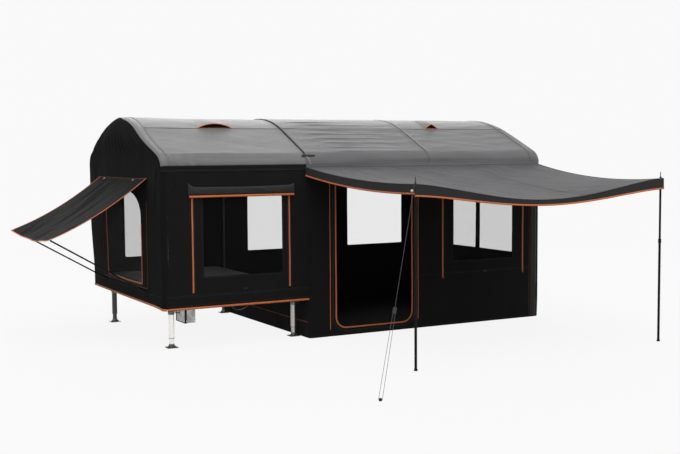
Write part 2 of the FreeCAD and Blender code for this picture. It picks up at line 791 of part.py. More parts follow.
def build_flap():
    """Window awning on the pod's end wall and the two struts that hold it out."""
    root_x = pod_left - gap
    outer_x = root_x - flap_reach
    corners = (Vector(root_x, flap_half, 0), Vector(root_x, -flap_half, 0),
               Vector(outer_x, flap_half, 0), Vector(outer_x, -flap_half, 0))
    save("pod_end_awning", cloth_patch(flap_height, corners, flap_thickness, flap_net_columns, cloth_net_rows)[1])
    for name, side in (("front", -1), ("rear", 1)):
        inset = strut_tip_inset / flap_reach
        v = 1 - inset
        u = strut_tip_inset / (2 * flap_half)
        tip = Vector(root_x - flap_reach * v, side * (flap_half - strut_tip_inset),
                     flap_height(u, v) - flap_thickness - strut_tip_drop)
        base = Vector(root_x, side * strut_base_y, strut_base_z)
        foot = cylinder(base, base - Vector(strut_base_thickness, 0, 0), strut_base_radius)
        rod = cylinder(base - Vector(strut_base_thickness / 2, 0, 0), tip, strut_radius)
        save("awning_strut_%s" % name, foot.fuse([rod, Part.makeSphere(strut_tip_radius, tip)]))


def build_cover_roll():
    """Rolled window cover held above the pod's front window."""
    y1 = -(half_depth - pod_inset) - gap
    roll = box(roll_left, roll_right, y1 - roll_depth, y1, roll_low, roll_low + roll_height)
    save("pod_cover_roll", roll.makeFillet(roll_rounding, roll.Edges))


def roof_line_height(y):
    """Height of the tent's section over a place beside the ridge."""
    high = section_points(0, 0)["slope_high"]
    low = section_points(0, 0)["slope_low"]
    if abs(y) < high.y:
        return ridge_height - ridge_radius + math.sqrt(ridge_radius ** 2 - y ** 2)
    return high.z + (low.z - high.z) * (abs(y) - high.y) / (low.y - high.y)


def vent_hood(centre, width, rise, seat_grow):
    """Open-mouthed hood that stands on the roof skin and faces down the front slope."""
    base = roof_line_height(vent_mouth_y) - vent_sink
    crest = roof_line_height(vent_mouth_y) + rise
    back = roof_line_height(vent_back_y)

    def lens(y, half, top, low):
        return Part.Wire([
            Part.Arc(Vector(centre - half, y, low), Vector(centre, y, top),
                     Vector(centre + half, y, low)).toShape(),
            Part.makeLine(Vector(centre + half, y, low), Vector(centre - half, y, low))])

    def hood(inset):
        over = 1 if inset else 0
        return Part.makeLoft([
            lens(vent_mouth_y - over, width / 2 + vent_skirt - inset, crest - inset, base - over),
            lens(vent_back_y - inset, width * vent_back_share - inset, back + vent_back_rise - inset,
                 back - vent_back_sink - over)],
            True, True)

    roof = tent_solid(centre - width, centre + width, seat_grow, wall_top)
    return hood(0).cut(hood(vent_wall)).cut(roof)


def build_vents():
    """Two roof vent hoods on the front slope below the ridge."""
    save("vent_hood_pod", vent_hood(*pod_vent, gap))
    save("vent_hood_room", vent_hood(*room_vent, cloth + 2 * gap))


os.makedirs("parts", exist_ok=True)
build_pod()
build_room()
build_hoops()
build_deck()
build_legs()
build_service_box()
build_awning()
build_flap()
build_cover_roll()
build_vents()
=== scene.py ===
"""Dresses the folding camper tent: cloth skins, piping, zips, seams, bedding and the studio round it.

Metres, in the frame of the solids: the origin is on the ground under the ridge, +X runs from the
bed pod to the room, -Y faces the door side and +Z is up.
"""

from __future__ import annotations

import json
import logging
import math
from dataclasses import dataclass, field
from enum import Enum
from typing import Callable, Iterable, Protocol, Sequence

import bmesh
import bpy
import numpy as np
from mathutils import Matrix, Vector
from mathutils.geometry import delaunay_2d_cdt

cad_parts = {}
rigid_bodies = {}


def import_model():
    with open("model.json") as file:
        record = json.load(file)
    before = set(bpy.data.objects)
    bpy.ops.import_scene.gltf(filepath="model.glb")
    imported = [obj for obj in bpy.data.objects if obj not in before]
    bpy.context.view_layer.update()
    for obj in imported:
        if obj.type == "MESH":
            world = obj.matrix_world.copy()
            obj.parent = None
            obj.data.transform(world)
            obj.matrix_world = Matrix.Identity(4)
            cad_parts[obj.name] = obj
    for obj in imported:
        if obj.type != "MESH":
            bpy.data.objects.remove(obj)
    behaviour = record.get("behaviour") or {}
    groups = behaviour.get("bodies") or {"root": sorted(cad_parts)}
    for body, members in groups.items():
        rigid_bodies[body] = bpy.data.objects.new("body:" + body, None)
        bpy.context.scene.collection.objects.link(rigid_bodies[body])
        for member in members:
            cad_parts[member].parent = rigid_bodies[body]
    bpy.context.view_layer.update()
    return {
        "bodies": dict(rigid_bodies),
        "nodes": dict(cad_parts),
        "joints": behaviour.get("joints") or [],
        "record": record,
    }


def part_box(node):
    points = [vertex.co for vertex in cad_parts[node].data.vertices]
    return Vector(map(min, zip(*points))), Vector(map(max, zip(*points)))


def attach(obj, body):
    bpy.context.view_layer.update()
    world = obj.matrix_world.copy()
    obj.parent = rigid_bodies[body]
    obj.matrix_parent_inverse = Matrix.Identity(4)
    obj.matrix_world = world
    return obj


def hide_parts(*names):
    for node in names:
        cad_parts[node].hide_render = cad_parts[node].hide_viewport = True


LOG = logging.getLogger("camper_tent")
Array = np.ndarray
Point2 = tuple[float, float]
Color = tuple[float, float, float]
Object = bpy.types.Object
Mesh = bpy.types.Mesh
Material = bpy.types.Material
Node = bpy.types.Node
Socket = bpy.types.NodeSocket
Inputs = dict[str | int, object]
ROOT_BODY = "tent"
WALL_SLOT = "wall_canvas"
ROOF_SLOT = "roof_canvas"
POD_HOOPS = ("hoop_pod_end", "hoop_junction")
ROOM_HOOPS = ("hoop_junction", "hoop_room_middle", "hoop_room_end")
# Thickness of walls and roofs, and of the windows' mesh with its net and overlap
CLOTH = 0.003
SCREEN_CLOTH = 0.0012
SCREEN_STEP = 0.05
SCREEN_MARGIN = 0.006
# Stitch spacing, how proud tapes and threads lie, and how far from an opening's edge
STITCH = 0.014
TAPE_LIFT = 0.001
THREAD_LIFT = 0.0004
THREAD_MARGIN = 0.014
SEAM_MARGIN = 0.022
ZIP_GAP = 0.018
ROW_GAP = 0.010
COVER_ROW_GAP = 0.012


# Section of the tent


@dataclass(frozen=True)
class TentSection:
    """Cross-section: upright walls, eave arcs, straight slopes and a ridge arc, all tangent."""

    half_depth: float = 1.240
    eave_height: float = 1.835
    ridge_height: float = 2.370
    eave_radius: float = 0.180
    ridge_radius: float = 1.500

    @property
    def ridge_centre(self) -> float:
        """Height of the ridge arc's centre."""
        return self.ridge_height - self.ridge_radius

    @property
    def eave_centre(self) -> float:
        """Distance of the eave arc's centre from the ridge plane."""
        return self.half_depth - self.eave_radius

    @property
    def slope(self) -> float:
        """Fall of the straight slope, in radians."""
        rise = self.eave_height - self.ridge_centre
        span = math.hypot(self.eave_centre, rise)
        lean = math.asin((self.ridge_radius - self.eave_radius) / span)
        return lean - math.atan2(rise, self.eave_centre)

    @property
    def spans(self) -> tuple[float, float, float]:
        """Lengths of half the ridge arc, one slope and one eave arc."""
        rise = self.eave_height - self.ridge_centre
        reach = math.hypot(self.eave_centre, rise)
        straight = math.sqrt(reach**2 - (self.ridge_radius - self.eave_radius) ** 2)
        eave = self.eave_radius * (math.pi / 2 - self.slope)
        return self.ridge_radius * self.slope, straight, eave

    def run_to(self, height: float) -> float:
        """Distance along the cloth from the ridge down to a height on the wall."""
        return sum(self.spans) + self.eave_height - height

    def at(self, run: Array, grow: float) -> tuple[Array, Array, Array, Array]:
        """Places along the section.

        Args:
            run: distances along the cloth from the ridge, negative towards the door side.
            grow: how far outside the nominal section the surface lies.

        Returns:
            y, z and the two parts of the outward direction.
        """
        ridge, straight, _ = self.spans
        distance = np.abs(run)
        first = np.clip(distance / self.ridge_radius, 0, self.slope)
        along = np.clip(distance - ridge, 0, straight)
        second = np.clip((distance - ridge - straight) / self.eave_radius, 0, math.pi / 2 - self.slope)
        down = np.maximum(distance - sum(self.spans), 0)
        big, small = self.ridge_radius + grow, self.eave_radius + grow
        turn = self.slope + second
        y = big * np.sin(first) + along * math.cos(self.slope)
        y = y + small * (np.sin(turn) - math.sin(self.slope))
        z = self.ridge_centre + big * np.cos(first) - along * math.sin(self.slope)
        z = z + small * (np.cos(turn) - math.cos(self.slope)) - down
        side = np.where(run < 0, -1.0, 1.0)
        return y * side, z, np.sin(first + second) * side, np.cos(first + second)

    def inset(self, y: Array, z: Array, grow: float) -> Array:
        """Distance of points inside the grown section from its outline, right near the outline."""
        big, small = self.ridge_radius + grow, self.eave_radius + grow
        away, above = np.abs(y), z - self.ridge_centre
        out, up = away - self.eave_centre, z - self.eave_height
        wall = self.half_depth + grow - away
        eave = small - np.hypot(out, up)
        ridge = big - np.hypot(away, above)
        straight = big - (away * math.sin(self.slope) + above * math.cos(self.slope))
        upper = np.where(np.arctan2(away, above) < self.slope, ridge, straight)
        upper = np.where(np.arctan2(out, up) > self.slope, eave, upper)
        return np.where(z < self.eave_height, wall, upper)

    def outline(self, grow: float, foot: float, step: float) -> list[Point2]:
        """Closed outline in y and z from one foot over the ridge to the other."""
        reach = self.run_to(foot)
        count = int(2 * reach / step)
        y, z, _, _ = self.at(np.linspace(-reach, reach, count), grow)
        return list(zip(y.tolist(), z.tolist()))

    def rings(self, grow: float, rounding: float, foot: float, step: float) -> list[list[Point2]]:
        """Outlines that follow a gable's curled border."""
        return [self.outline(grow - rounding * (1 - math.cos(math.radians(turn))), foot, step)
                for turn in (15, 35, 55, 75, 90)]


# Folds and surfaces of cloth


def together(x: Array, y: Array, z: Array) -> Array:
    """Points from their three coordinates."""
    return np.stack(np.broadcast_arrays(x, y, z), axis=-1)


def smooth(share: Array) -> Array:
    """Soft step from 0 to 1 over a share."""
    t = np.clip(share, 0, 1)
    return t * t * (3 - 2 * t)


class Fold(Protocol):
    """Anything that lifts cloth off its plain surface."""

    def rise(self, a: Array, b: Array) -> Array:
        """Lift at places given by the surface's two running sizes."""


@dataclass(frozen=True)
class Crease:
    """A ridge or, with a negative height, a valley between two places."""

    start: Point2
    end: Point2
    width: float
    height: float

    def rise(self, a: Array, b: Array) -> Array:
        """Lift of the crease, fading towards both ends."""
        run = np.array(self.end) - np.array(self.start)
        length = float(np.hypot(*run))
        run = run / length
        da, db = a - self.start[0], b - self.start[1]
        along = (da * run[0] + db * run[1]) / length
        across = da * -run[1] + db * run[0]
        ends = np.clip(along, 0, 1)
        fade = np.sin(np.pi * ends) ** 0.6
        return self.height * fade * np.exp(-((across / self.width) ** 2))


@dataclass(frozen=True)
class Slack:
    """Soft uneven waves of loose cloth."""

    height: float
    waves: Point2
    seed: int
    layers: int = 4

    def rise(self, a: Array, b: Array) -> Array:
        """Lift of several warped waves added up."""
        draw = np.random.default_rng(self.seed)
        total = np.zeros(np.broadcast(a, b).shape)
        for layer in range(self.layers):
            scale = 1.6**layer
            turn = draw.uniform(-0.5, 0.5)
            phase = draw.uniform(0, 2 * math.pi, 3)
            u = a / self.waves[0] * scale
            v = b / self.waves[1] * scale
            warp = 0.7 * np.sin(1.7 * v + phase[0]) + 0.5 * np.sin(2.3 * u + phase[1])
            mix = u * math.cos(turn) + v * math.sin(turn)
            cross = v * math.cos(turn) - u * math.sin(turn)
            total += np.sin(mix * 2 * math.pi + warp + phase[2]) * np.sin(cross * math.pi + phase[0]) / scale
        return self.height * total / 1.8


@dataclass(frozen=True)
class Window:
    """Keeps a fold inside a range of the running sizes, with soft borders."""

    fold: Fold
    low: Point2
    high: Point2
    border: Point2

    def rise(self, a: Array, b: Array) -> Array:
        """Lift of the fold, faded out at the range's borders."""
        fade_a = smooth(np.minimum(a - self.low[0], self.high[0] - a) / self.border[0])
        fade_b = smooth(np.minimum(b - self.low[1], self.high[1] - b) / self.border[1])
        return self.fold.rise(a, b) * fade_a * fade_b


@dataclass(frozen=True)
class Bulge:
    """One soft swell round a place."""

    centre: Point2
    reach: Point2
    height: float

    def rise(self, a: Array, b: Array) -> Array:
        """Lift that falls to nothing at the swell's reach."""
        u = np.clip((a - self.centre[0]) / self.reach[0], -1, 1)
        v = np.clip((b - self.centre[1]) / self.reach[1], -1, 1)
        return self.height * (1 - u**2) ** 2 * (1 - v**2) ** 2


@dataclass
class Surface:
    """A surface over two running sizes, with its folds.

    The place function gives points, and the outward side is where the cross product of its two
    directions points, turned round where flip is set.
    """

    place: Callable[[Array, Array], Array]
    folds: list[Fold] = field(default_factory=list)
    flip: bool = False

    def normal(self, a: Array, b: Array) -> Array:
        """Outward directions of the plain surface."""
        step = 1e-4
        across = self.place(a + step, b) - self.place(a - step, b)
        along = self.place(a, b + step) - self.place(a, b - step)
        out = np.cross(across, along)
        out /= np.maximum(np.linalg.norm(out, axis=-1, keepdims=True), 1e-12)
        return -out if self.flip else out

    def at(self, a: Array, b: Array, lift: float = 0.0) -> Array:
        """Points of the folded surface, lifted off it by a constant."""
        a, b = np.asarray(a, float), np.asarray(b, float)
        rise = sum((fold.rise(a, b) for fold in self.folds), np.zeros(np.broadcast(a, b).shape))
        return self.place(a, b) + self.normal(a, b) * (rise + lift)[..., None]

    def line(self, places: Sequence[Point2], lift: float = 0.0, step: float = 0.02,
             closed: bool = False) -> Path:
        """Line through places given in the running sizes."""
        a, b = spaced(places, step, closed).T
        return Path(self.at(a, b, lift), self.normal(a, b), closed)

    def levels(self, runs: Iterable[float], start: float, end: float, lift: float = 0.0) -> list[Path]:
        """Lines along the first running size, one at each place in the second."""
        return [self.line([(start, run), (end, run)], lift) for run in runs]

    def uprights(self, runs: Iterable[float], start: float, end: float, lift: float = 0.0) -> list[Path]:
        """Lines along the second running size, one at each place in the first."""
        return [self.line([(run, start), (run, end)], lift) for run in runs]

    def spot(self, a: float, b: float, lift: float) -> Path:
        """Single spot on the surface."""
        place = np.array([a]), np.array([b])
        return Path(self.at(*place, lift), self.normal(*place))


def long_wall(section: TentSection, side: int, grow: float, folds: list[Fold]) -> Surface:
    """Upright wall along the tent over x and z; side is -1 for the door side."""

    def place(x: Array, z: Array) -> Array:
        """Points of the wall."""
        y = side * (section.half_depth + grow) + np.zeros(np.broadcast(x, z).shape)
        return together(x, y, z)

    return Surface(place, folds, flip=side > 0)


def end_wall(section: TentSection, end: float, side: int, grow: float, rounding: float,
             folds: list[Fold]) -> Surface:
    """Gable over y and z whose border curls round onto the walls and roof.

    Args:
        section: the tent's section.
        end: x of the flat face.
        side: -1 for the pod's end and 1 for the room's end.
        grow: how far the walls beside it lie outside the nominal section.
        rounding: radius of the curled border.
        folds: folds of the cloth.

    Returns:
        The surface.
    """

    def place(y: Array, z: Array) -> Array:
        """Points of the gable."""
        away = np.clip(section.inset(y, z, grow) / rounding, 0, 1)
        back = rounding * (1 - np.sqrt(np.maximum(1 - (1 - away) ** 2, 0)))
        x = end - side * back
        return together(x, y, z)

    return Surface(place, folds, flip=side < 0)


@dataclass(frozen=True)
class Curl:
    """Border of a roof that turns down over the gable beside it; the reach's sign is its direction."""

    start: float
    reach: float
    radius: float = 0.0503
    far_share: float = 1.0

    @property
    def way(self) -> float:
        """1 towards the room's end and -1 towards the pod's."""
        return math.copysign(1.0, self.reach)

    def held(self, x: Array, run: Array) -> Array:
        """Stations with the border drawn back over the ridge and the far side."""
        share = self.far_share + (1 - self.far_share) * smooth((0.20 - run) / 0.40)
        return x - self.way * np.maximum((x - self.start) * self.way, 0) * (1 - share)

    def drop(self, x: Array) -> Array:
        """How far in the cloth lies."""
        away = np.clip((x - self.start) * self.way, 0, 0.98 * self.radius)
        return self.radius - np.sqrt(self.radius**2 - away**2)

    def stations(self) -> Array:
        """Places over the border, from its start to its edge."""
        turn = np.linspace(0, math.asin(abs(self.reach) / self.radius), 8)
        return self.start + self.way * self.radius * np.sin(turn)


def roof_surface(section: TentSection, grow: float, curl: Curl, folds: list[Fold]) -> Surface:
    """Roof over x and the distance along the cloth from the ridge."""

    def place(x: Array, run: Array) -> Array:
        """Points of the roof."""
        x = curl.held(x, run)
        y, z, _, _ = section.at(run, grow - curl.drop(x))
        return together(x, y, z)

    return Surface(place, folds)


@dataclass(frozen=True)
class Billow:
    """Pushes a slack end out, most at one corner, and in or out high under the roof.

    corner is 1 for the rear and -1 for the door side, and power how closely the push keeps to it.
    """

    start: float = -1.29
    full: float = -1.69
    lean: float = 0.035
    foot: float = 0.5
    corner: float = 1.0
    power: float = 5.0
    crown: float = 0.038
    crown_height: float = 2.12
    crown_reach: float = 0.15
    peak: float = 0.014
    tip: float = 0.035

    def depth(self, y: Array, z: Array) -> Array:
        """How far out the end's face lies."""
        side = np.clip(0.5 + 0.5 * self.corner * y / 1.24, 0, 1) ** self.power
        low = self.lean * smooth((z - self.foot) / 0.8) * side
        high = self.crown * np.exp(-(((z - self.crown_height) / self.crown_reach) ** 2))
        return low + high + self.tip * smooth((z - 1.98) / 0.38)

    def lifted(self, points: Array) -> Array:
        """Raises the ridge towards the end."""
        x, y, z = points[..., 0], points[..., 1], points[..., 2]
        near = smooth((x - self.start + 0.39 * self.way) / (0.75 * self.way))
        return self.peak * near * np.exp(-((y / 0.55) ** 2)) * smooth((z - 1.9) / 0.4)

    @property
    def way(self) -> float:
        """1 towards the room's end and -1 towards the pod's."""
        return math.copysign(1.0, self.full - self.start)

    def over(self, surface: Surface) -> Surface:
        """A surface with its points near the end pushed out."""

        def place(a: Array, b: Array) -> Array:
            """Points of the surface, pushed out."""
            points = surface.place(a, b)
            share = smooth((self.start - points[..., 0]) / (self.start - self.full))
            rise = self.lifted(points)
            points[..., 0] += self.way * share * self.depth(points[..., 1], points[..., 2])
            points[..., 2] += rise
            return points

        return Surface(place, surface.folds, surface.flip)


def moved(surface: Surface, shift: Sequence[float]) -> Surface:
    """The same surface, moved."""
    return Surface(lambda a, b: surface.place(a, b) + np.array(shift), surface.folds, surface.flip)


def ground_surface(height: float, folds: list[Fold]) -> Surface:
    """Level surface over x and y."""

    def place(x: Array, y: Array) -> Array:
        """Points of the level."""
        return together(x, y, height + 0 * x)

    return Surface(place, folds)


# Outlines in a surface's running sizes


def rounded_rectangle(a0: float, a1: float, b0: float, b1: float, radius: float, steps: int) -> list[Point2]:
    """Closed outline with four rounded corners, counter-clockwise."""
    corners = ((a1 - radius, b1 - radius, 0), (a0 + radius, b1 - radius, 1),
               (a0 + radius, b0 + radius, 2), (a1 - radius, b0 + radius, 3))
    points = []
    for a, b, quarter in corners:
        for step in range(steps + 1):
            turn = math.pi / 2 * (quarter + step / steps)
            points.append((a + radius * math.cos(turn), b + radius * math.sin(turn)))
    return points


def arched_outline(half: float, low: float, spring: float, rise: float, corner: float) -> list[Point2]:
    """Closed outline with rounded sill corners and a full arched head, counter-clockwise."""
    points = []
    for turn in np.linspace(0, math.pi, 25).tolist():
        away = math.copysign(abs(math.cos(turn)) ** 0.85, math.cos(turn))
        points.append((half * away, spring + rise * max(math.sin(turn), 0.0) ** 0.85))
    for a, quarter in ((corner - half, 2), (half - corner, 3)):
        for step in range(7):
            turn = math.pi / 2 * (quarter + step / 6)
            points.append((a + corner * math.cos(turn), low + corner + corner * math.sin(turn)))
    return points


@dataclass(frozen=True)
class Opening:
    """A rounded opening in a wall."""

    name: str
    left: float
    right: float
    sill: float = 0.738
    head: float = 1.541
    corner: float = 0.014
    steps: int = 6

    def outline(self, spread: float = 0.0) -> list[Point2]:
        """Closed outline of the opening, grown by a margin."""
        return rounded_rectangle(self.left - spread, self.right + spread, self.sill - spread,
                                 self.head + spread, self.corner + spread, self.steps)

    def size(self, spread: float) -> Point2:
        """Width and height of the opening, grown by a margin."""
        return self.right - self.left + 2 * spread, self.head - self.sill + 2 * spread


@dataclass(frozen=True)
class ArchedOpening(Opening):
    """An opening in a gable with an arched head that springs at a height."""

    spring: float = 1.290

    def outline(self, spread: float = 0.0) -> list[Point2]:
        """Closed outline of the opening, grown by a margin."""
        return arched_outline(self.right + spread, self.sill - spread, self.spring,
                              self.head - self.spring + spread, self.corner + spread)


def three_sides(width: float, reach: float, margin: float, root: float) -> list[Point2]:
    """Open line round a sheet's free sides, inside its edge."""
    return [(margin, root), (margin, reach - margin), (width - margin, reach - margin),
            (width - margin, root)]


def spaced(points: Sequence[Point2], step: float, closed: bool) -> Array:
    """The same outline with no two neighbours further apart than a step."""
    source = np.array(points, float)
    follow = np.roll(source, -1, axis=0) if closed else source[1:]
    result = []
    for start, end in zip(source, follow):
        count = max(1, int(math.ceil(np.linalg.norm(end - start) / step)))
        result += [start + (end - start) * i / count for i in range(count)]
    if not closed:
        result.append(source[-1])
    return np.array(result)


def polygon_area(points: Sequence[Point2]) -> float:
    """Area inside a closed outline."""
    p = np.array(points, float)
    q = np.roll(p, -1, axis=0)
    return abs(float(np.sum(p[:, 0] * q[:, 1] - q[:, 0] * p[:, 1]))) / 2


def inside(points: Array, loop: Array) -> Array:
    """Which points lie inside a closed outline."""
    x, y = points[:, 0][:, None], points[:, 1][:, None]
    x0, y0 = loop[:, 0], loop[:, 1]
    x1, y1 = np.roll(x0, -1), np.roll(y0, -1)
    cuts = (y0 > y) != (y1 > y)
    slant = np.where(y1 == y0, 1e-12, y1 - y0)
    left = x < (x1 - x0) * (y - y0) / slant + x0
    return (np.count_nonzero(cuts & left, axis=1) % 2) == 1


# Meshes


def new_object(name: str, mesh: Mesh) -> Object:
    """Object at the origin that holds a mesh."""
    made = bpy.data.objects.new(name, mesh)
    bpy.context.scene.collection.objects.link(made)
    return made


def evaluated_mesh(target: Object) -> Mesh:
    """Mesh of an object with its modifiers worked in."""
    graph = bpy.context.evaluated_depsgraph_get()
    return bpy.data.meshes.new_from_object(target.evaluated_get(graph), depsgraph=graph)


def finish_mesh(mesh: Mesh, uv: Array, angle: float, material: Material) -> None:
    """Gives a mesh its running sizes, a row to a point, its finish and smooth shading up to an angle."""
    index = np.zeros(len(mesh.loops), int)
    mesh.loops.foreach_get("vertex_index", index)
    mesh.uv_layers.new(name="cloth").data.foreach_set("uv", uv[index].ravel())
    mesh.materials.append(material)
    mesh.shade_smooth()
    mesh.set_sharp_from_angle(angle=math.radians(angle))


def shell(name: str, points: Array, normals: Array, faces: Array, uv: Array, thickness: float,
          material: Material) -> Object:
    """Closed cloth from one layer of faces: the layer, its copy further in and a rim.

    Args:
        name: the object's name.
        points: outer layer's points.
        normals: outward direction at each point.
        faces: rows of point numbers, three or four to a face.
        uv: running sizes at each point, in metres.
        thickness: how far in the second layer lies.
        material: finish of the whole piece.

    Returns:
        The object, at the origin.
    """
    count = len(points)
    both = np.concatenate([points, points - normals * thickness])
    starts = faces.ravel()
    ends = np.roll(faces, -1, axis=1).ravel()
    pairs = {(int(s), int(e)) for s, e in zip(starts, ends)}
    rim = [(e, s, s + count, e + count) for s, e in pairs if (e, s) not in pairs]
    rows = faces.tolist() + (faces[:, ::-1] + count).tolist() + rim
    mesh = bpy.data.meshes.new(name)
    mesh.from_pydata(both.tolist(), [], rows)
    finish_mesh(mesh, np.concatenate([uv, uv]), 55, material)
    mesh.validate()
    return new_object(name, mesh)


def cut_panel(name: str, surface: Surface, outline: Sequence[Point2], holes: Sequence[Sequence[Point2]],
              step: float, thickness: float, material: Material,
              rings: Sequence[Sequence[Point2]] = ()) -> Object:
    """Cloth panel of any outline with holes, as a fine even net of triangles.

    Args:
        name: the object's name.
        surface: where the cloth lies.
        outline: closed border in the surface's running sizes.
        holes: closed borders of its openings.
        step: spacing of the net.
        thickness: thickness of the cloth.
        material: finish.
        rings: open rows of points that the net has to follow.

    Returns:
        The object; its flat area is kept in a property.
    """
    border = spaced(outline, step, True)
    loops = [border] + [spaced(hole, step / 2, True) for hole in holes]
    rows = [np.array(ring, float) for ring in rings]
    low, high = border.min(axis=0), border.max(axis=0)
    a, b = np.meshgrid(np.arange(low[0] + step / 2, high[0], step),
                       np.arange(low[1] + step / 2, high[1], step))
    a = a + (np.arange(len(a)) % 2)[:, None] * step / 2
    grid = np.stack([a.ravel(), b.ravel()], axis=1)
    fixed = np.concatenate(loops + rows)
    keep = inside(grid, border)
    for hole in loops[1:]:
        keep &= ~inside(grid, hole)
    grid = grid[keep]
    near = np.min(np.hypot(grid[:, None, 0] - fixed[None, :, 0], grid[:, None, 1] - fixed[None, :, 1]),
                  axis=1)
    grid = grid[near > 0.5 * step]
    edges, base = [], 0
    for loop in loops:
        edges += [(base + i, base + (i + 1) % len(loop)) for i in range(len(loop))]
        base += len(loop)
    for row in rows:
        edges += [(base + i, base + i + 1) for i in range(len(row) - 1)]
        base += len(row)
    source = [Vector(p) for p in np.concatenate([fixed, grid]).tolist()]
    made, _, triangles, *_ = delaunay_2d_cdt(source, edges, [], 0, 1e-6)
    net = np.array([tuple(p) for p in made])
    triangles = np.array(triangles)
    middle = net[triangles].mean(axis=1)
    keep = inside(middle, border)
    for hole in loops[1:]:
        keep &= ~inside(middle, hole)
    triangles = triangles[keep]
    used, triangles = np.unique(triangles, return_inverse=True)
    net, triangles = net[used], triangles.reshape(-1, 3)
    u, v = net[:, 0], net[:, 1]
    points, normals = surface.at(u, v), surface.normal(u, v)
    corner = points[triangles]
    facing = np.cross(corner[:, 1] - corner[:, 0], corner[:, 2] - corner[:, 0])
    wrong = np.einsum("ij,ij->i", facing, normals[triangles[:, 0]]) < 0
    triangles[wrong] = triangles[wrong][:, ::-1]
    panel = shell(name, points, normals, triangles, net, thickness, material)
    panel["flat_area"] = polygon_area(border) - sum(polygon_area(hole) for hole in loops[1:])
    return panel


def grid_panel(name: str, surface: Surface, a: Array, b: Array, thickness: float,
               material: Material, uv_scale: Point2 = (1.0, 1.0)) -> Object:
    """Cloth over a regular net of the two running sizes."""
    u, v = np.meshgrid(a, b, indexing="ij")
    points = surface.at(u, v).reshape(-1, 3)
    normals = surface.normal(u, v).reshape(-1, 3)
    i, j = np.meshgrid(np.arange(len(a) - 1), np.arange(len(b) - 1), indexing="ij")
    first = (i * len(b) + j).ravel()
    faces = np.stack([first, first + len(b), first + len(b) + 1, first + 1], axis=1)
    if surface.flip:
        faces = faces[:, ::-1]
    uv = np.stack([u.ravel() * uv_scale[0], v.ravel() * uv_scale[1]], axis=1)
    return shell(name, points, normals, faces, uv, thickness, material)


@dataclass
class Path:
    """A line, ring or single spot on a surface, with its outward directions."""

    points: Array
    out: Array
    closed: bool = False

    @classmethod
    def facing(cls, points: Sequence[Sequence[float]], out: Sequence[float]) -> Path:
        """Open line, or a single spot, that faces one way all along."""
        line = np.array(points, float)
        return cls(line, np.tile(np.array(out, float), (len(line), 1)))

    @classmethod
    def ring(cls, centre: Sequence[float], radius: float, count: int) -> Path:
        """Closed level ring that faces away from its centre."""
        turn = np.linspace(0, 2 * math.pi, count, endpoint=False)
        out = np.stack([np.cos(turn), np.sin(turn), 0 * turn], axis=1)
        return cls(np.array(centre) + out * radius, out, True)


def beside(line: Sequence[Point2], offset: float) -> list[Point2]:
    """The same open line moved sideways in its plane."""
    p = np.array(line, float)
    run = np.gradient(p, axis=0)
    run /= np.maximum(np.linalg.norm(run, axis=1, keepdims=True), 1e-9)
    shifted = p + np.stack([-run[:, 1], run[:, 0]], axis=1) * offset
    return [tuple(row) for row in shifted.tolist()]


def softened(line: list[Point2]) -> list[Point2]:
    """Rounds an open line's corners by cutting each of them twice."""
    for _ in range(2):
        cut = [line[0]]
        for (a0, b0), (a1, b1) in zip(line, line[1:]):
            cut += [(a0 * 0.8 + a1 * 0.2, b0 * 0.8 + b1 * 0.2), (a0 * 0.2 + a1 * 0.8, b0 * 0.2 + b1 * 0.8)]
        line = [*cut, line[-1]]
    return line


def line_mesh(name: str, paths: Iterable[Path]) -> Object:
    """Wires and spots with their outward directions, ready for a node tree."""
    points, out, edges, base = [], [], [], 0
    for path in paths:
        count = len(path.points)
        points.append(path.points)
        out.append(path.out)
        edges += [(base + i, base + i + 1) for i in range(count - 1)]
        if path.closed:
            edges.append((base + count - 1, base))
        base += count
    mesh = bpy.data.meshes.new(name)
    mesh.from_pydata(np.concatenate(points).tolist(), edges, [])
    attribute = mesh.attributes.new("out", "FLOAT_VECTOR", "POINT")
    attribute.data.foreach_set("vector", np.concatenate(out).ravel())
    return new_object(name, mesh)


# Node trees for what repeats or follows a path


class NodeGraph:
    """A node tree under construction."""

    def __init__(self, tree: bpy.types.NodeTree) -> None:
        """Keeps the tree that the nodes go into."""
        self.tree = tree

    def add(self, kind: str, inputs: Inputs | None = None, **settings: object) -> Node:
        """Adds a node.

        Args:
            kind: type of the node.
            inputs: values, or sockets to link, by the input's name or number.
            settings: the node's own options.

        Returns:
            The node.
        """
        node = self.tree.nodes.new(kind)
        for label, value in settings.items():
            setattr(node, label, value)
        for label, value in (inputs or {}).items():
            if isinstance(value, Socket):
                self.tree.links.new(value, node.inputs[label])
            else:
                node.inputs[label].default_value = value
        return node

    def get(self, kind: str, inputs: Inputs | None = None, **settings: object) -> Socket:
        """Adds a node and gives its first output."""
        return self.add(kind, inputs, **settings).outputs[0]

    def math(self, operation: str, first: object, second: object) -> Socket:
        """Result of an operation on two values or sockets."""
        return self.get("ShaderNodeMath", {0: first, 1: second}, operation=operation)


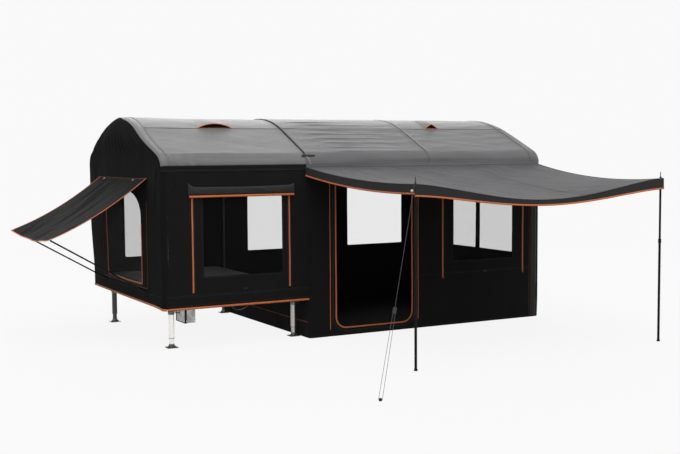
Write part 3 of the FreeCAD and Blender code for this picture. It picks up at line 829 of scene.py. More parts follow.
class Tree(NodeGraph):
    """A Geometry Nodes tree with named sizes, run on wires or spots that keep their outward directions."""

    def __init__(self, name: str, sizes: dict[str, float], counts: dict[str, int]) -> None:
        """Starts a tree with its size and whole-number inputs."""
        super().__init__(bpy.data.node_groups.new(name, "GeometryNodeTree"))
        face = self.tree.interface
        face.new_socket("Geometry", in_out="INPUT", socket_type="NodeSocketGeometry")
        for kind, values in (("NodeSocketFloat", sizes), ("NodeSocketInt", counts)):
            for label, value in values.items():
                face.new_socket(label, in_out="INPUT", socket_type=kind).default_value = value
        face.new_socket("Material", in_out="INPUT", socket_type="NodeSocketMaterial")
        face.new_socket("Geometry", in_out="OUTPUT", socket_type="NodeSocketGeometry")
        self.size = self.tree.nodes.new("NodeGroupInput").outputs
        self.result = self.tree.nodes.new("NodeGroupOutput")

    def half(self, label: str) -> Socket:
        """Half of one of the tree's sizes."""
        return self.math("MULTIPLY", self.size[label], 0.5)

    def outward(self) -> Socket:
        """The outward directions kept on the input's points."""
        return self.get("GeometryNodeInputNamedAttribute", {"Name": "out"}, data_type="FLOAT_VECTOR")

    def wire(self) -> Socket:
        """The input's wires as curves whose normals are the outward directions."""
        line = self.get("GeometryNodeMeshToCurve", {"Mesh": self.size["Geometry"]})
        return self.get("GeometryNodeSetCurveNormal", {"Curve": line, "Normal": self.outward()}, mode="FREE")

    def swept(self, line: Socket, section: Socket, caps: bool) -> Socket:
        """Smooth skin of a section led along a line."""
        skin = self.get("GeometryNodeCurveToMesh", {"Curve": line, "Profile Curve": section,
                                                    "Fill Caps": caps})
        return self.get("GeometryNodeSetShadeSmooth", {"Geometry": skin})

    def copies(self, shape: Socket, points: Socket, turn: Socket, scale: object = (1.0, 1.0, 1.0)) -> Socket:
        """Real copies of a shape at points."""
        placed = self.get("GeometryNodeInstanceOnPoints",
                          {"Points": points, "Instance": shape, "Rotation": turn, "Scale": scale})
        return self.get("GeometryNodeRealizeInstances", {"Geometry": placed})

    def at_spots(self, shape: Socket) -> Socket:
        """Real copies of a shape at the input's spots, turned outwards."""
        spots = self.get("GeometryNodeMeshToPoints", {"Mesh": self.size["Geometry"]})
        turn = self.get("FunctionNodeAlignRotationToVector", {"Vector": self.outward()}, axis="Z")
        return self.copies(shape, spots, turn)

    def finish(self, geometry: Socket) -> Tree:
        """Sets the material on the result, joins it to the output and gives the tree."""
        done = self.get("GeometryNodeSetMaterial", {"Geometry": geometry, "Material": self.size["Material"]})
        self.tree.links.new(done, self.result.inputs[0])
        return self

    def bake(self, target: Object, values: dict[str, object]) -> Object:
        """Runs the tree on an object and leaves the plain mesh behind.

        Args:
            target: wires or spots; the object is used up.
            values: the tree's inputs by name.

        Returns:
            The new object, with the old one's name.
        """
        modifier = target.modifiers.new(self.tree.name, "NODES")
        modifier.node_group = self.tree
        for item in self.tree.interface.items_tree:
            if item.in_out == "INPUT" and item.name in values:
                modifier[item.identifier] = values[item.name]
        name, mesh = target.name, evaluated_mesh(target)
        bpy.data.objects.remove(target)
        mesh.name = name
        return new_object(name, mesh)


def tape_tree() -> Tree:
    """Tape or piping of a flattened round section along wires."""
    tree = Tree("tape_along_line", {"Width": 0.016, "Thickness": 0.005}, {"Sides": 10})
    ring = tree.get("GeometryNodeCurvePrimitiveCircle", {"Resolution": tree.size["Sides"], "Radius": 0.5})
    scale = tree.get("ShaderNodeCombineXYZ", {"X": tree.size["Thickness"], "Y": tree.size["Width"], "Z": 1.0})
    section = tree.get("GeometryNodeTransform", {"Geometry": ring, "Scale": scale})
    return tree.finish(tree.swept(tree.wire(), section, True))


def row_tree() -> Tree:
    """Small blocks in a row along wires: stitches, or the teeth of a zip."""
    tree = Tree("row_along_line", {"Spacing": 0.012, "Length": 0.006, "Width": 0.0015, "Height": 0.001,
                                   "Unevenness": 0.1}, {"Seed": 3})
    spots = tree.add("GeometryNodeCurveToPoints", {"Curve": tree.wire(), "Length": tree.size["Spacing"]},
                     mode="LENGTH")
    block = tree.get("GeometryNodeMeshCylinder", {"Vertices": 4, "Radius": 0.5, "Depth": 1.0})
    least, most = (tree.math(way, 1.0, tree.size["Unevenness"]) for way in ("SUBTRACT", "ADD"))
    chance = tree.add("FunctionNodeRandomValue", {2: least, 3: most, "Seed": tree.size["Seed"]},
                      data_type="FLOAT")
    length = tree.math("MULTIPLY", chance.outputs[1], tree.size["Length"])
    scale = tree.get("ShaderNodeCombineXYZ", {"X": tree.size["Height"], "Y": tree.size["Width"], "Z": length})
    return tree.finish(tree.copies(block, spots.outputs["Points"], spots.outputs["Rotation"], scale))


def bolt_tree() -> Tree:
    """Hexagon bolt heads on washers at spots."""
    tree = Tree("fitting_at_point", {"Width": 0.016, "Height": 0.006, "Washer": 0.024}, {"Sides": 6})
    head = tree.get("GeometryNodeMeshCylinder", {"Vertices": tree.size["Sides"], "Radius": tree.half("Width"),
                                                 "Depth": tree.size["Height"]})
    up = tree.get("ShaderNodeCombineXYZ", {"Z": tree.half("Height")})
    raised = tree.get("GeometryNodeTransform", {"Geometry": head, "Translation": up})
    plate = tree.get("GeometryNodeMeshCylinder", {"Vertices": 16, "Radius": tree.half("Washer"),
                                                  "Depth": 0.003})
    both = tree.add("GeometryNodeJoinGeometry")
    for part in (raised, plate):
        tree.tree.links.new(part, both.inputs[0])
    return tree.finish(tree.at_spots(both.outputs[0]))


def eyelet_tree() -> Tree:
    """Pressed metal eyelets at spots."""
    tree = Tree("eyelet_at_point", {"Radius": 0.008, "Rim": 0.005}, {"Sides": 20})
    ring = tree.get("GeometryNodeCurvePrimitiveCircle", {"Resolution": tree.size["Sides"],
                                                         "Radius": tree.size["Radius"]})
    rim = tree.get("GeometryNodeCurvePrimitiveCircle", {"Resolution": 8, "Radius": tree.half("Rim")})
    return tree.finish(tree.at_spots(tree.swept(ring, rim, False)))


# Materials


class Shader(NodeGraph):
    """A node material under construction."""

    def __init__(self, name: str) -> None:
        """Starts from a fresh material with its main shader."""
        self.material = bpy.data.materials.new(name)
        self.material.use_nodes = True
        super().__init__(self.material.node_tree)
        self.main = self.tree.nodes["Principled BSDF"]
        self.place = self.add("ShaderNodeTexCoord").outputs

    def set(self, **values: object) -> None:
        """Sets constants on the main shader; underscores in names stand for spaces."""
        for label, value in values.items():
            self.main.inputs[label.replace("_", " ")].default_value = value

    def link(self, value: Socket, label: str) -> None:
        """Links a socket to the main shader."""
        self.tree.links.new(value, self.main.inputs[label])

    def noise(self, scale: float, detail: float = 4.0, stretch: Color = (1, 1, 1),
              rough: float = 0.55) -> Socket:
        """Noise over Object coordinates, in features per metre."""
        spread = self.get("ShaderNodeMapping", {"Vector": self.place["Object"], "Scale": stretch})
        return self.get("ShaderNodeTexNoise", {"Vector": spread, "Scale": scale, "Detail": detail,
                                               "Roughness": rough})

    def ramp(self, value: Socket, source: Point2, result: Point2) -> Socket:
        """Maps one range of a value onto another."""
        return self.get("ShaderNodeMapRange", {"Value": value, "From Min": source[0], "From Max": source[1],
                                               "To Min": result[0], "To Max": result[1]})

    def shade(self, color: Color, value: Socket, spread: float) -> None:
        """Colours the surface with a tone that varies with a value."""
        mixed = self.add("ShaderNodeMix", {"Factor": value}, data_type="RGBA")
        mixed.inputs["A"].default_value = (*(c * (1 - spread) for c in color), 1)
        mixed.inputs["B"].default_value = (*(min(c * (1 + spread), 1) for c in color), 1)
        self.link(mixed.outputs["Result"], "Base Color")

    def bumps(self, layers: Sequence[tuple[Socket, float]]) -> None:
        """Stacks bump layers of a height and its depth in metres."""
        last: Inputs = {}
        for height, depth in layers:
            made = self.get("ShaderNodeBump", {"Height": height, "Distance": depth, "Strength": 1.0, **last})
            last = {"Normal": made}
        self.link(made, "Normal")

    def weave(self, thread: float) -> Socket:
        """Plain weave over the piece's own cloth coordinates."""
        warp, weft = (self.add("ShaderNodeTexWave", {"Vector": self.place["UV"],
                                                     "Scale": math.pi / 10 / thread}, wave_type="BANDS",
                               bands_direction=way).outputs[1] for way in "XY")
        return self.math("MULTIPLY", warp, weft)


@dataclass(frozen=True)
class ClothFinish:
    """Woven or coated cloth.

    color is linear, thread the pitch of the weave, mottle the spread of tone and creasing the
    depth of fine creases in metres.
    """

    name: str
    color: Color
    rough: float = 0.85
    gloss: float = 0.2
    sheen: float = 0.15
    thread: float = 0.0016
    weave_depth: float = 0.0002
    mottle: float = 0.12
    creasing: float = 0.0012

    def build(self) -> Material:
        """Makes the material."""
        made = Shader(self.name)
        patches = made.noise(2.2, 5.0)
        grain = made.noise(46.0, 3.0)
        tone = made.math("MULTIPLY", patches, made.ramp(grain, (0.3, 0.7), (0.75, 1.25)))
        made.shade(self.color, made.ramp(tone, (0.25, 0.75), (0.0, 1.0)), self.mottle)
        made.link(made.ramp(grain, (0.3, 0.7), (self.rough - 0.06, self.rough + 0.06)), "Roughness")
        creases = made.noise(9.0, 6.0, (1.0, 1.0, 0.45), 0.6)
        made.bumps([(creases, self.creasing), (made.weave(self.thread), self.weave_depth)])
        made.set(Specular_IOR_Level=self.gloss, Sheen_Weight=self.sheen, Sheen_Roughness=0.5)
        return made.material


@dataclass(frozen=True)
class ScreenFinish:
    """Open mesh or clear film that lets most light through."""

    name: str
    cover: float
    color: Color = (0.035, 0.034, 0.033)

    def build(self) -> Material:
        """Makes the material."""
        made = Shader(self.name)
        made.shade(self.color, made.noise(30.0, 3.0), 0.25)
        made.bumps([(made.weave(0.0024), 0.0004)])
        made.set(Roughness=0.6, Specular_IOR_Level=0.1, Alpha=self.cover)
        return made.material


class Wear(Enum):
    """How a hard finish has aged."""

    CLEAN = "clean"
    SCUFFED = "scuffed"
    SPANGLED = "spangled"


@dataclass(frozen=True)
class HardFinish:
    """Metal, paint or moulded plastic."""

    name: str
    color: Color
    metal: float
    rough: float
    wear: Wear = Wear.CLEAN
    gloss: float = 0.5

    def build(self) -> Material:
        """Makes the material."""
        made = Shader(self.name)
        if self.wear is Wear.SPANGLED:
            cells = made.get("ShaderNodeTexVoronoi", {"Vector": made.place["Object"], "Scale": 70.0})
            made.shade(self.color, made.ramp(cells, (0.0, 0.7), (0.1, 0.9)), 0.16)
        elif self.wear is Wear.SCUFFED:
            made.shade(self.color, made.ramp(made.noise(14.0, 6.0), (0.45, 0.62), (0.2, 1.0)), 0.3)
        else:
            made.shade(self.color, made.noise(120.0, 3.0), 0.08)
        made.link(made.ramp(made.noise(22.0, 5.0), (0.3, 0.7), (self.rough - 0.07, self.rough + 0.09)),
                  "Roughness")
        made.bumps([(made.noise(260.0, 2.0), 0.00012)])
        made.set(Metallic=self.metal, Specular_IOR_Level=self.gloss)
        return made.material


@dataclass(frozen=True)
class PlywoodFinish:
    """Birch plywood with long grain."""

    name: str
    color: Color

    def build(self) -> Material:
        """Makes the material."""
        made = Shader(self.name)
        grain = made.noise(6.0, 6.0, (1.0, 14.0, 14.0), 0.65)
        made.shade(self.color, made.ramp(grain, (0.3, 0.7), (0.0, 1.0)), 0.28)
        made.bumps([(grain, 0.0004)])
        made.set(Roughness=0.55, Specular_IOR_Level=0.35)
        return made.material


def fine_cloth(name: str, color: Color, rough: float, gloss: float = 0.2, **changes: float) -> ClothFinish:
    """Tape, cord or thread, too narrow to crease."""
    return ClothFinish(name, color, rough, gloss, **{"creasing": 0.0002, **changes})


class Look(Enum):
    """Every finish of the tent."""

    WALL = ClothFinish("wall_canvas_look", (0.0115, 0.0113, 0.0116), rough=0.9, gloss=0.07, sheen=0.02)
    # Painted shade: a darker, less glossy copy of the wall cloth for the pod's end wall, standing in for the
    # flap's shadow on it.
    GABLE_PAINTED_SHADE = ClothFinish("gable_canvas_painted_shade_look", (0.0108, 0.0107, 0.0109), rough=0.9, gloss=0.042, sheen=0.0)
    ROOF = ClothFinish("roof_canvas_look", (0.115, 0.114, 0.118), rough=0.45, gloss=0.55, sheen=0.25)
    # Painted shade: a darker copy of the roof cloth for the room's roof, which the light from the left leaves
    # dimmer than the pod's.
    ROOF_PAINTED_SHADE = ClothFinish("room_roof_canvas_painted_shade_look", (0.075, 0.075, 0.079), rough=0.45, gloss=0.55, sheen=0.25,
                           mottle=0.14)
    AWNING = ClothFinish("awning_canvas_look", (0.046, 0.046, 0.050), rough=0.7, gloss=0.16)
    FLAP = ClothFinish("flap_canvas_look", (0.0135, 0.0135, 0.0135), rough=0.8, gloss=0.05, sheen=0.0)
    ROLL = ClothFinish("cover_roll_look", (0.026, 0.026, 0.027), rough=0.8, gloss=0.15)
    HEM = ClothFinish("hem_canvas_look", (0.022, 0.022, 0.023), rough=0.8, gloss=0.2, sheen=0.05)
    GROUND = ClothFinish("ground_sheet_look", (0.006, 0.006, 0.0062), rough=0.85, gloss=0.04, sheen=0.0,
                         thread=0.003)
    MATTRESS = ClothFinish("mattress_look", (0.034, 0.034, 0.036), 0.92, 0.1, thread=0.0025)
    PIPING = fine_cloth("orange_piping_look", (0.62, 0.170, 0.055), 0.6, sheen=0.05, thread=0.002, mottle=0.1)
    # Painted shade: a darker copy of the orange piping for slim lines that sit in shade, under the deck,
    # under the end flap, round the end window and at the room's corner.
    PIPING_PAINTED_SHADE = fine_cloth("orange_piping_painted_shade_look", (0.18, 0.052, 0.020), 0.7, 0.1, sheen=0.05, thread=0.002,
                            mottle=0.1)
    BINDING = fine_cloth("black_binding_look", (0.008, 0.008, 0.008), 0.7)
    THREAD = fine_cloth("thread_look", (0.03, 0.03, 0.031), 0.7, 0.3, creasing=0.0001)
    WEBBING = fine_cloth("webbing_look", (0.22, 0.22, 0.22), 0.8, thread=0.002)
    CORD = fine_cloth("guy_cord_look", (0.08, 0.08, 0.08), 0.7, creasing=0.0001)
    SCREEN = ScreenFinish("window_screen_look", 0.12)
    SCREEN_FINE = ScreenFinish("fine_screen_look", 0.08)
    SCREEN_CLOSE = ScreenFinish("close_screen_look", 0.21)
    VENT = fine_cloth("vent_mesh_look", (0.006, 0.006, 0.006), 0.95, 0.05)
    ZINC = HardFinish("leg_zinc_look", (0.80, 0.785, 0.76), 1.0, 0.3, Wear.SPANGLED)
    # Painted shade: the next two are darker copies of the same leg zinc, for the front right leg in half
    # shade and for the rear legs in shade with dark reflections under the deck.
    ZINC_PAINTED_HALF_SHADE = HardFinish("leg_zinc_painted_half_shade_look", (0.42, 0.41, 0.39), 1.0, 0.4, Wear.SPANGLED)
    ZINC_PAINTED_SHADE = HardFinish("leg_zinc_painted_shade_look", (0.055, 0.055, 0.054), 1.0, 0.4, Wear.SPANGLED)
    FOOT = HardFinish("foot_zinc_look", (0.155, 0.152, 0.148), 1.0, 0.48, Wear.SCUFFED)
    # Painted shade: the hoops' grey paint is darkened to near black for the shade inside the tent.
    HOOP_PAINTED_SHADE = HardFinish("hoop_painted_shade_look", (0.05, 0.05, 0.052), 0.3, 0.4, Wear.SCUFFED)
    BLACK = HardFinish("black_paint_look", (0.005, 0.005, 0.005), 0.0, 0.5, gloss=0.10)
    PLASTIC = HardFinish("black_plastic_look", (0.013, 0.013, 0.013), 0.0, 0.5, gloss=0.3)
    WHITE_PLASTIC = HardFinish("white_plastic_look", (0.7, 0.7, 0.7), 0.0, 0.5)
    # Painted light: the box's grey is raised well above its own tone to make up for the shade under the deck.
    SERVICE_PAINTED_LIGHT = HardFinish("service_box_painted_light_look", (0.66, 0.65, 0.63), 0.3, 0.35, Wear.SCUFFED)
    DECK = HardFinish("deck_paint_look", (0.022, 0.022, 0.022), 0.0, 0.45, Wear.SCUFFED)
    PLYWOOD = PlywoodFinish("deck_plywood_look", (0.35, 0.24, 0.14))
    EYELET = HardFinish("eyelet_look", (0.75, 0.74, 0.72), 1.0, 0.3)


# Shared helpers for pieces


class Workshop:
    """Makes, finishes and settles the pieces of every sub-assembly."""

    def __init__(self, frame: dict, section: TentSection) -> None:
        """Makes each finish and each node tree once."""
        self.frame = frame
        self.section = section
        self.looks = {look: look.value.build() for look in Look}
        self.tapes, self.rows, self.heads, self.rims = tape_tree(), row_tree(), bolt_tree(), eyelet_tree()

    def settle(self, made: Object, slot: str, replaced: Sequence[str] = (),
               body: str = ROOT_BODY) -> None:
        """Puts a finished piece on its body and hides the solids that it stands for."""
        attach(made, body)
        if replaced:
            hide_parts(*replaced)
        LOG.info("%s: %d faces on %s", made.name, len(made.data.polygons), body)

    def hang(self, made: Object, slot: str, replaced: Sequence[str], flat: Point2, held: str,
             rests_on: Sequence[str]) -> None:
        """Args:
            made: the piece; a panel with openings keeps its flat area in a property.
            slot: the material slot; not used.
            replaced: solids that it stands for.
            flat: width and length that it was cut to; not used.
            held: how it is held; not used.
            rests_on: what carries it; not used.
        """
        self.settle(made, slot, replaced)

    def dress(self, look: Look, *nodes: str) -> None:
        """Gives solids that stay in view their finish."""
        for node in nodes:
            for entry in self.frame["nodes"][node].material_slots:
                entry.material = self.looks[look]

    def panel(self, name: str, surface: Surface, border: Sequence[Point2], holes: Sequence[Sequence[Point2]],
              step: float, look: Look = Look.WALL,
              rings: Sequence[Sequence[Point2]] = ()) -> Object:
        """Cut panel of wall cloth."""
        return cut_panel(name, surface, border, holes, step, CLOTH, self.looks[look], rings)

    def net(self, name: str, surface: Surface, a: Array, b: Array, look: Look, thickness: float = CLOTH,
            uv_scale: Point2 = (1.0, 1.0)) -> Object:
        """Cloth over a regular net."""
        return grid_panel(name, surface, a, b, thickness, self.looks[look], uv_scale)

    def screen(self, node: str, name: str, behind: Surface, window: Opening, look: Look, wall: str) -> None:
        """Mesh behind a rounded window."""
        mesh = cut_panel(name, behind, window.outline(SCREEN_MARGIN), [], SCREEN_STEP, SCREEN_CLOTH,
                         self.looks[look])
        self.hang(mesh, "window_screen", [node], window.size(SCREEN_MARGIN), "stretched", [wall])

    def trim(self, tree: Tree, name: str, paths: Sequence[Path], look: Look, slot: str,
             body: str = ROOT_BODY, replaced: Sequence[str] = (), **sizes: float) -> None:
        """Runs a node tree along lines or at spots and settles the result."""
        made = tree.bake(line_mesh(name, paths), {**sizes, "Material": self.looks[look]})
        self.settle(made, slot, replaced, body)

    def tape(self, name: str, paths: Sequence[Path], width: float, thickness: float, look: Look,
             slot: str = WALL_SLOT, sides: int = 8, body: str = ROOT_BODY,
             replaced: Sequence[str] = ()) -> None:
        """Tape, piping or welt along lines."""
        self.trim(self.tapes, name, paths, look, slot, body, replaced, Width=width, Thickness=thickness,
                  Sides=sides)

    def stitches(self, name: str, paths: Sequence[Path], slot: str = WALL_SLOT) -> None:
        """Rows of thread along lines."""
        self.trim(self.rows, name, paths, Look.THREAD, slot, Spacing=STITCH, Length=0.6 * STITCH,
                  Width=0.0022, Height=0.0016, Unevenness=0.15, Seed=7)

    def zips(self, name: str, paths: Sequence[Path]) -> None:
        """Coils of zips along lines."""
        self.trim(self.rows, name, paths, Look.PLASTIC, WALL_SLOT, Spacing=0.009, Length=0.0045, Width=0.008,
                  Height=0.004, Unevenness=0.0, Seed=1)

    def bolts(self, name: str, spots: Sequence[Path], width: float, height: float, slot: str) -> None:
        """Zinc bolt heads on washers at spots."""
        self.trim(self.heads, name, spots, Look.ZINC, slot, Width=width, Height=height, Washer=1.5 * width,
                  Sides=6)

    def eyelets(self, name: str, spots: Sequence[Path], radius: float, rim: float, look: Look = Look.EYELET,
                slot: str = "hoop_steel") -> None:
        """Eyelets at spots."""
        self.trim(self.rims, name, spots, look, slot, Radius=radius, Rim=rim, Sides=20)


def roof_cloth(shop: Workshop, name: str, roof: Surface, stations: Array, count: int, span: Point2,
               looks: Sequence[Look], hoops: Sequence[str]) -> None:
    """Roof skin with a band along each lower edge, with edgings and stitches.

    Args:
        shop: where the pieces are made.
        name: first word of the pieces' names.
        roof: the roof's surface.
        stations: places along the roof.
        count: places across it.
        span: distances from the ridge at which the bands start and end.
        looks: finishes of the skin, the bands and their edgings.
        hoops: what carries the skin; not used.
    """
    start, end = span
    left, right = float(stations[0]), float(stations[-1])
    skin = shop.net(f"{name}_roof_cloth", roof, stations, np.linspace(-start, start, count), looks[0])
    shop.hang(skin, ROOF_SLOT, [f"{name}_roof"], (right - left, 2 * start), "stretched", hoops)
    edges, rows = [], []
    for side, word in ((-1, "front"), (1, "rear")):
        runs = np.linspace(*sorted((side * (start - 0.001), side * end)), 8)
        band = shop.net(f"{name}_roof_hem_{word}", roof, stations, runs, looks[1])
        shop.hang(band, WALL_SLOT, [f"{name}_roof"], (right - left, end - start), "hung", [skin.name])
        edges += roof.levels((side * end, side * start), left, right)
        rows += roof.levels((side * (start - 0.009), side * (end - 0.014)), left, right, 0.0006)
    shop.tape(f"{name}_roof_hem_binding", edges, 0.008, 0.005, looks[2])
    shop.stitches(f"{name}_roof_hem_stitches", rows)


# Bed pod


@dataclass
class BedPod:
    """Raised bed pod: its skin, roof, screens, cover roll and trims."""

    shop: Workshop
    left: float = -1.690
    wall_right: float = -0.010
    roof_right: float = -0.0603
    roof_seam: float = 0.600
    band: float = 0.028
    inset: float = 0.0053
    foot: float = 0.430
    front_drop: float = 0.013
    seam_height: float = 0.548
    wall_top: float = 1.833
    roof_hem: float = 1.813
    rounding: float = 0.045
    front_window: Opening = Opening("front", -1.251, -0.373)
    rear_window: Opening = Opening("rear", -1.300, -0.373)
    end_window: Opening = ArchedOpening("end", -0.590, 0.590, sill=0.640, head=1.605)
    zip_left: float = -1.369
    zip_right: float = -0.286
    zip_low: float = 0.580
    roll_low: float = 1.541
    roll_cloth_low: float = 1.570
    roll_bar: float = 1.553
    roll_shift: float = -0.018

    def __post_init__(self) -> None:
        """Lays out the pod's four cloth surfaces with their folds."""
        section = self.shop.section
        corner = self.left + self.rounding
        billow = Billow()
        pleats = [Crease((corner + 0.02 + 0.035 * i, 0.46), (corner + 0.015 + 0.038 * i, 1.82), 0.014, height)
                  for i, height in enumerate((-0.006, 0.004, -0.005, 0.003, -0.003))]
        corner_pulls = [Crease((corner - 0.01 + 0.015 * i, 1.81),
                               (corner + 0.06 + 0.035 * i, 1.62 - 0.04 * i), 0.009, 0.009 * (-1) ** i)
                        for i in range(4)]
        loose = Window(Slack(0.006, (0.40, 0.8), 11), (corner, self.foot), (self.wall_right, self.wall_top),
                       (0.05, 0.06))
        self.front = billow.over(long_wall(section, -1, -self.inset,
                                           [loose, *pleats, *corner_pulls]))
        back_loose = Window(Slack(0.004, (0.6, 0.9), 12), (corner, self.foot),
                            (self.wall_right, self.wall_top), (0.05, 0.06))
        self.rear = billow.over(long_wall(section, 1, -self.inset, [back_loose, *pleats]))
        fan = [Crease((0.055 * i, 2.34 - 0.012 * abs(i)), (0.135 * i, 1.98 + 0.02 * abs(i)), 0.034, 0.013)
               for i in range(-4, 5)]
        sides = [Crease((side * 1.10, 1.86), (side * (0.86 + 0.05 * i), 1.60 - 0.12 * i), 0.02, 0.008)
                 for side in (-1, 1) for i in range(3)]
        swell = Bulge((0.0, 1.25), (1.24, 1.10), 0.010)
        self.end = billow.over(end_wall(section, self.left, -1, -self.inset, self.rounding,
                                        [swell, *fan, *sides,
                                         Window(Slack(0.004, (0.7, 0.8), 13), (-1.2, self.foot), (1.2, 2.3),
                                                (0.1, 0.08))]))
        self.hem_run = section.run_to(self.roof_hem)
        eave = sum(section.spans)
        self.band_run = eave - self.band
        self.curl = Curl(corner, -0.041, far_share=0.12)
        ripples = Window(Slack(0.003, (1.1, 0.30), 14), (corner, -eave), (self.roof_right, eave),
                         (0.10, 0.10))
        gathers = [Crease((corner + 0.01, side * (eave - 0.08 - 0.03 * i)),
                          (corner + 0.40 + 0.12 * i, side * (eave - 0.04 - 0.05 * i)), 0.014, 0.004)
                   for side in (-1, 1) for i in range(4)]
        flats = [Crease((corner + 0.10, side * run), (self.roof_right - 0.05, side * (run + 0.01)), 0.022,
                        height) for side in (-1, 1) for run, height in ((1.235, 0.004), (1.305, -0.004))]
        flats += [Crease((corner - 0.3, side * self.hem_run), (self.roof_right + 0.3, side * self.hem_run),
                         0.018, -0.0036) for side in (-1, 1)]
        crumples = [Crease((corner + 0.04 + 0.060 * i, side * (eave - 0.16)),
                           (corner + 0.12 + 0.062 * i, side * (eave - 0.03)), 0.016, 0.009 * (-1) ** i)
                    for side in (-1, 1) for i in range(5)]
        self.roof = billow.over(roof_surface(section, 0.0, self.curl,
                                             [ripples, *gathers, *flats, *crumples]))

    def build(self) -> None:
        """Makes every piece of the pod."""
        self.build_walls()
        self.build_roof()
        self.build_screens()
        self.build_piping()
        self.build_cover_roll()

    def build_walls(self) -> None:
        """Front, rear and end walls."""
        x0 = self.left + self.rounding
        flat = (self.wall_right - x0, self.wall_top - self.foot)
        for surface, window, foot in ((self.front, self.front_window, self.foot - self.front_drop),
                                      (self.rear, self.rear_window, self.foot)):
            border = [(x0, foot), (self.wall_right, foot), (self.wall_right, self.wall_top),
                      (x0, self.wall_top)]
            node = f"pod_{window.name}_wall"
            wall = self.shop.panel(f"{node}_cloth", surface, border, [window.outline()], 0.022)
            self.shop.hang(wall, WALL_SLOT, [node], flat, "stretched", POD_HOOPS)
        section = self.shop.section
        # The end wall takes the darker, less glossy copy of the wall cloth, which paints in the flap's
        # shadow.
        end = self.shop.panel("pod_end_wall_cloth", self.end, section.outline(-self.inset, self.foot, 0.02),
                              [self.end_window.outline()], 0.024, Look.GABLE_PAINTED_SHADE,
                              section.rings(-self.inset, self.rounding, self.foot + 0.001, 0.025))
        self.shop.hang(end, WALL_SLOT, ["pod_end_wall"],
                       (2 * section.half_depth, section.ridge_height - self.foot), "stretched", POD_HOOPS[:1])

    def build_roof(self) -> None:
        """Roof skin with its hems, welts and stitches."""
        roof, band = self.roof, self.band_run
        left, inner = self.curl.start + self.curl.reach, self.curl.start + 0.045
        stations = np.concatenate([self.curl.stations()[:0:-1],
                                   np.linspace(self.curl.start, self.roof_right, 80)])
        roof_cloth(self.shop, "pod", roof, stations, 190, (band, self.hem_run),
                   (Look.ROOF, Look.WALL, Look.BINDING), POD_HOOPS)
        welts = roof.levels((-self.roof_seam, self.roof_seam), inner, self.roof_right, TAPE_LIFT)
        welts += roof.uprights((left + 0.004, inner), -band, band)
        self.shop.tape("pod_roof_welts", welts, 0.012, 0.004, Look.ROOF, ROOF_SLOT, 6)
        rows = roof.levels([run + d for run in (-self.roof_seam, self.roof_seam)
                            for d in (-ROW_GAP, ROW_GAP)], inner, self.roof_right, 0.0008)
        rows += roof.uprights((inner - ROW_GAP, inner + ROW_GAP), -band, band, 0.0008)
        self.shop.stitches("pod_roof_stitches", rows, ROOF_SLOT)

    def build_screens(self) -> None:
        """Mesh in the three windows."""
        for surface, side, window in ((self.front, -1, self.front_window), (self.rear, 1, self.rear_window)):
            self.shop.screen("pod_screens", f"pod_screen_{window.name}",
                             moved(surface, (0.0, -side * CLOTH, 0.0)), window, Look.SCREEN_FINE,
                             f"pod_{window.name}_wall_cloth")
        self.shop.screen("pod_screens", "pod_screen_end", moved(self.end, (CLOTH, 0.0, 0.0)), self.end_window,
                         Look.SCREEN_CLOSE, "pod_end_wall_cloth")

    def build_piping(self) -> None:
        """Orange tapes, zips, seams and stitches on the walls."""
        x0, low = self.left + self.rounding, self.foot + 0.008
        left, right = self.zip_left, self.zip_right
        limit = self.shop.section.half_depth - self.inset - 0.0005
        tapes, cords, zips, seams, rows = [], [], [], [], []
        for surface, window, hang in ((self.front, self.front_window, low - self.front_drop),
                                      (self.rear, self.rear_window, low)):
            tapes += surface.uprights((left, right), self.roll_low + 0.01, self.zip_low, TAPE_LIFT)
            zips += surface.uprights((left + ZIP_GAP, right - ZIP_GAP), self.roll_low, self.zip_low + 0.01,
                                     TAPE_LIFT)
            cords += surface.levels([hang], x0, self.wall_right - 0.052, TAPE_LIFT)
            seams += surface.levels([self.seam_height], x0, self.wall_right)
            rows += surface.levels((self.seam_height - 0.008, self.seam_height + 0.008, low + 0.018), x0,
                                   self.wall_right - 0.05, THREAD_LIFT)
            rows += surface.uprights((left - COVER_ROW_GAP, right + COVER_ROW_GAP), self.roll_low,
                                     self.zip_low, THREAD_LIFT)
            rows.append(surface.line(window.outline(THREAD_MARGIN), THREAD_LIFT, closed=True))
            seams.append(surface.line(window.outline(SEAM_MARGIN), closed=True))
        cords.append(self.end.line([(-limit, low - self.front_drop), (-limit + 0.12, low - 0.004),
                                    (-limit + 0.3, low), (limit, low)], TAPE_LIFT, step=0.008))
        half, sill = self.end_window.right + THREAD_MARGIN, self.end_window.sill - THREAD_MARGIN
        frame = [(-half, 1.26), (-half, sill + 0.02), (-half + 0.02, sill), (half - 0.02, sill),
                 (half, sill + 0.02), (half, 1.42)]
        outer = [(-0.775, 1.50), (-0.775, 0.61), (-0.755, 0.590), (0.755, 0.590), (0.775, 0.61),
                 (0.775, 1.50)]
        tapes.append(self.end.line(softened(frame), TAPE_LIFT))
        zips.append(self.end.line(softened(beside(frame, -ZIP_GAP)), TAPE_LIFT))
        rows.append(self.end.line(self.end_window.outline(0.030), THREAD_LIFT, closed=True))
        seams += self.end.levels([self.seam_height], -1.19, 1.19)
        tab = self.front.levels([0.592], -0.822, -0.774, 0.002)
        self.shop.tape("pod_window_tab", tab, 0.014, 0.004, Look.BINDING)
        self.shop.tape("pod_piping", tapes, 0.017, 0.006, Look.PIPING, sides=10)
        # The slim outer line round the end window uses the darker orange that paints in its shade.
        self.shop.tape("pod_slim_piping", [self.end.line(softened(outer), TAPE_LIFT)], 0.006, 0.004,
                       Look.PIPING_PAINTED_SHADE)
        self.shop.tape("pod_foot_piping", cords, 0.022, 0.010, Look.PIPING, sides=10)
        self.shop.tape("pod_seams", seams, 0.010, 0.003, Look.WALL, sides=6)
        self.shop.zips("pod_zips", zips)
        self.shop.stitches("pod_stitches", rows)

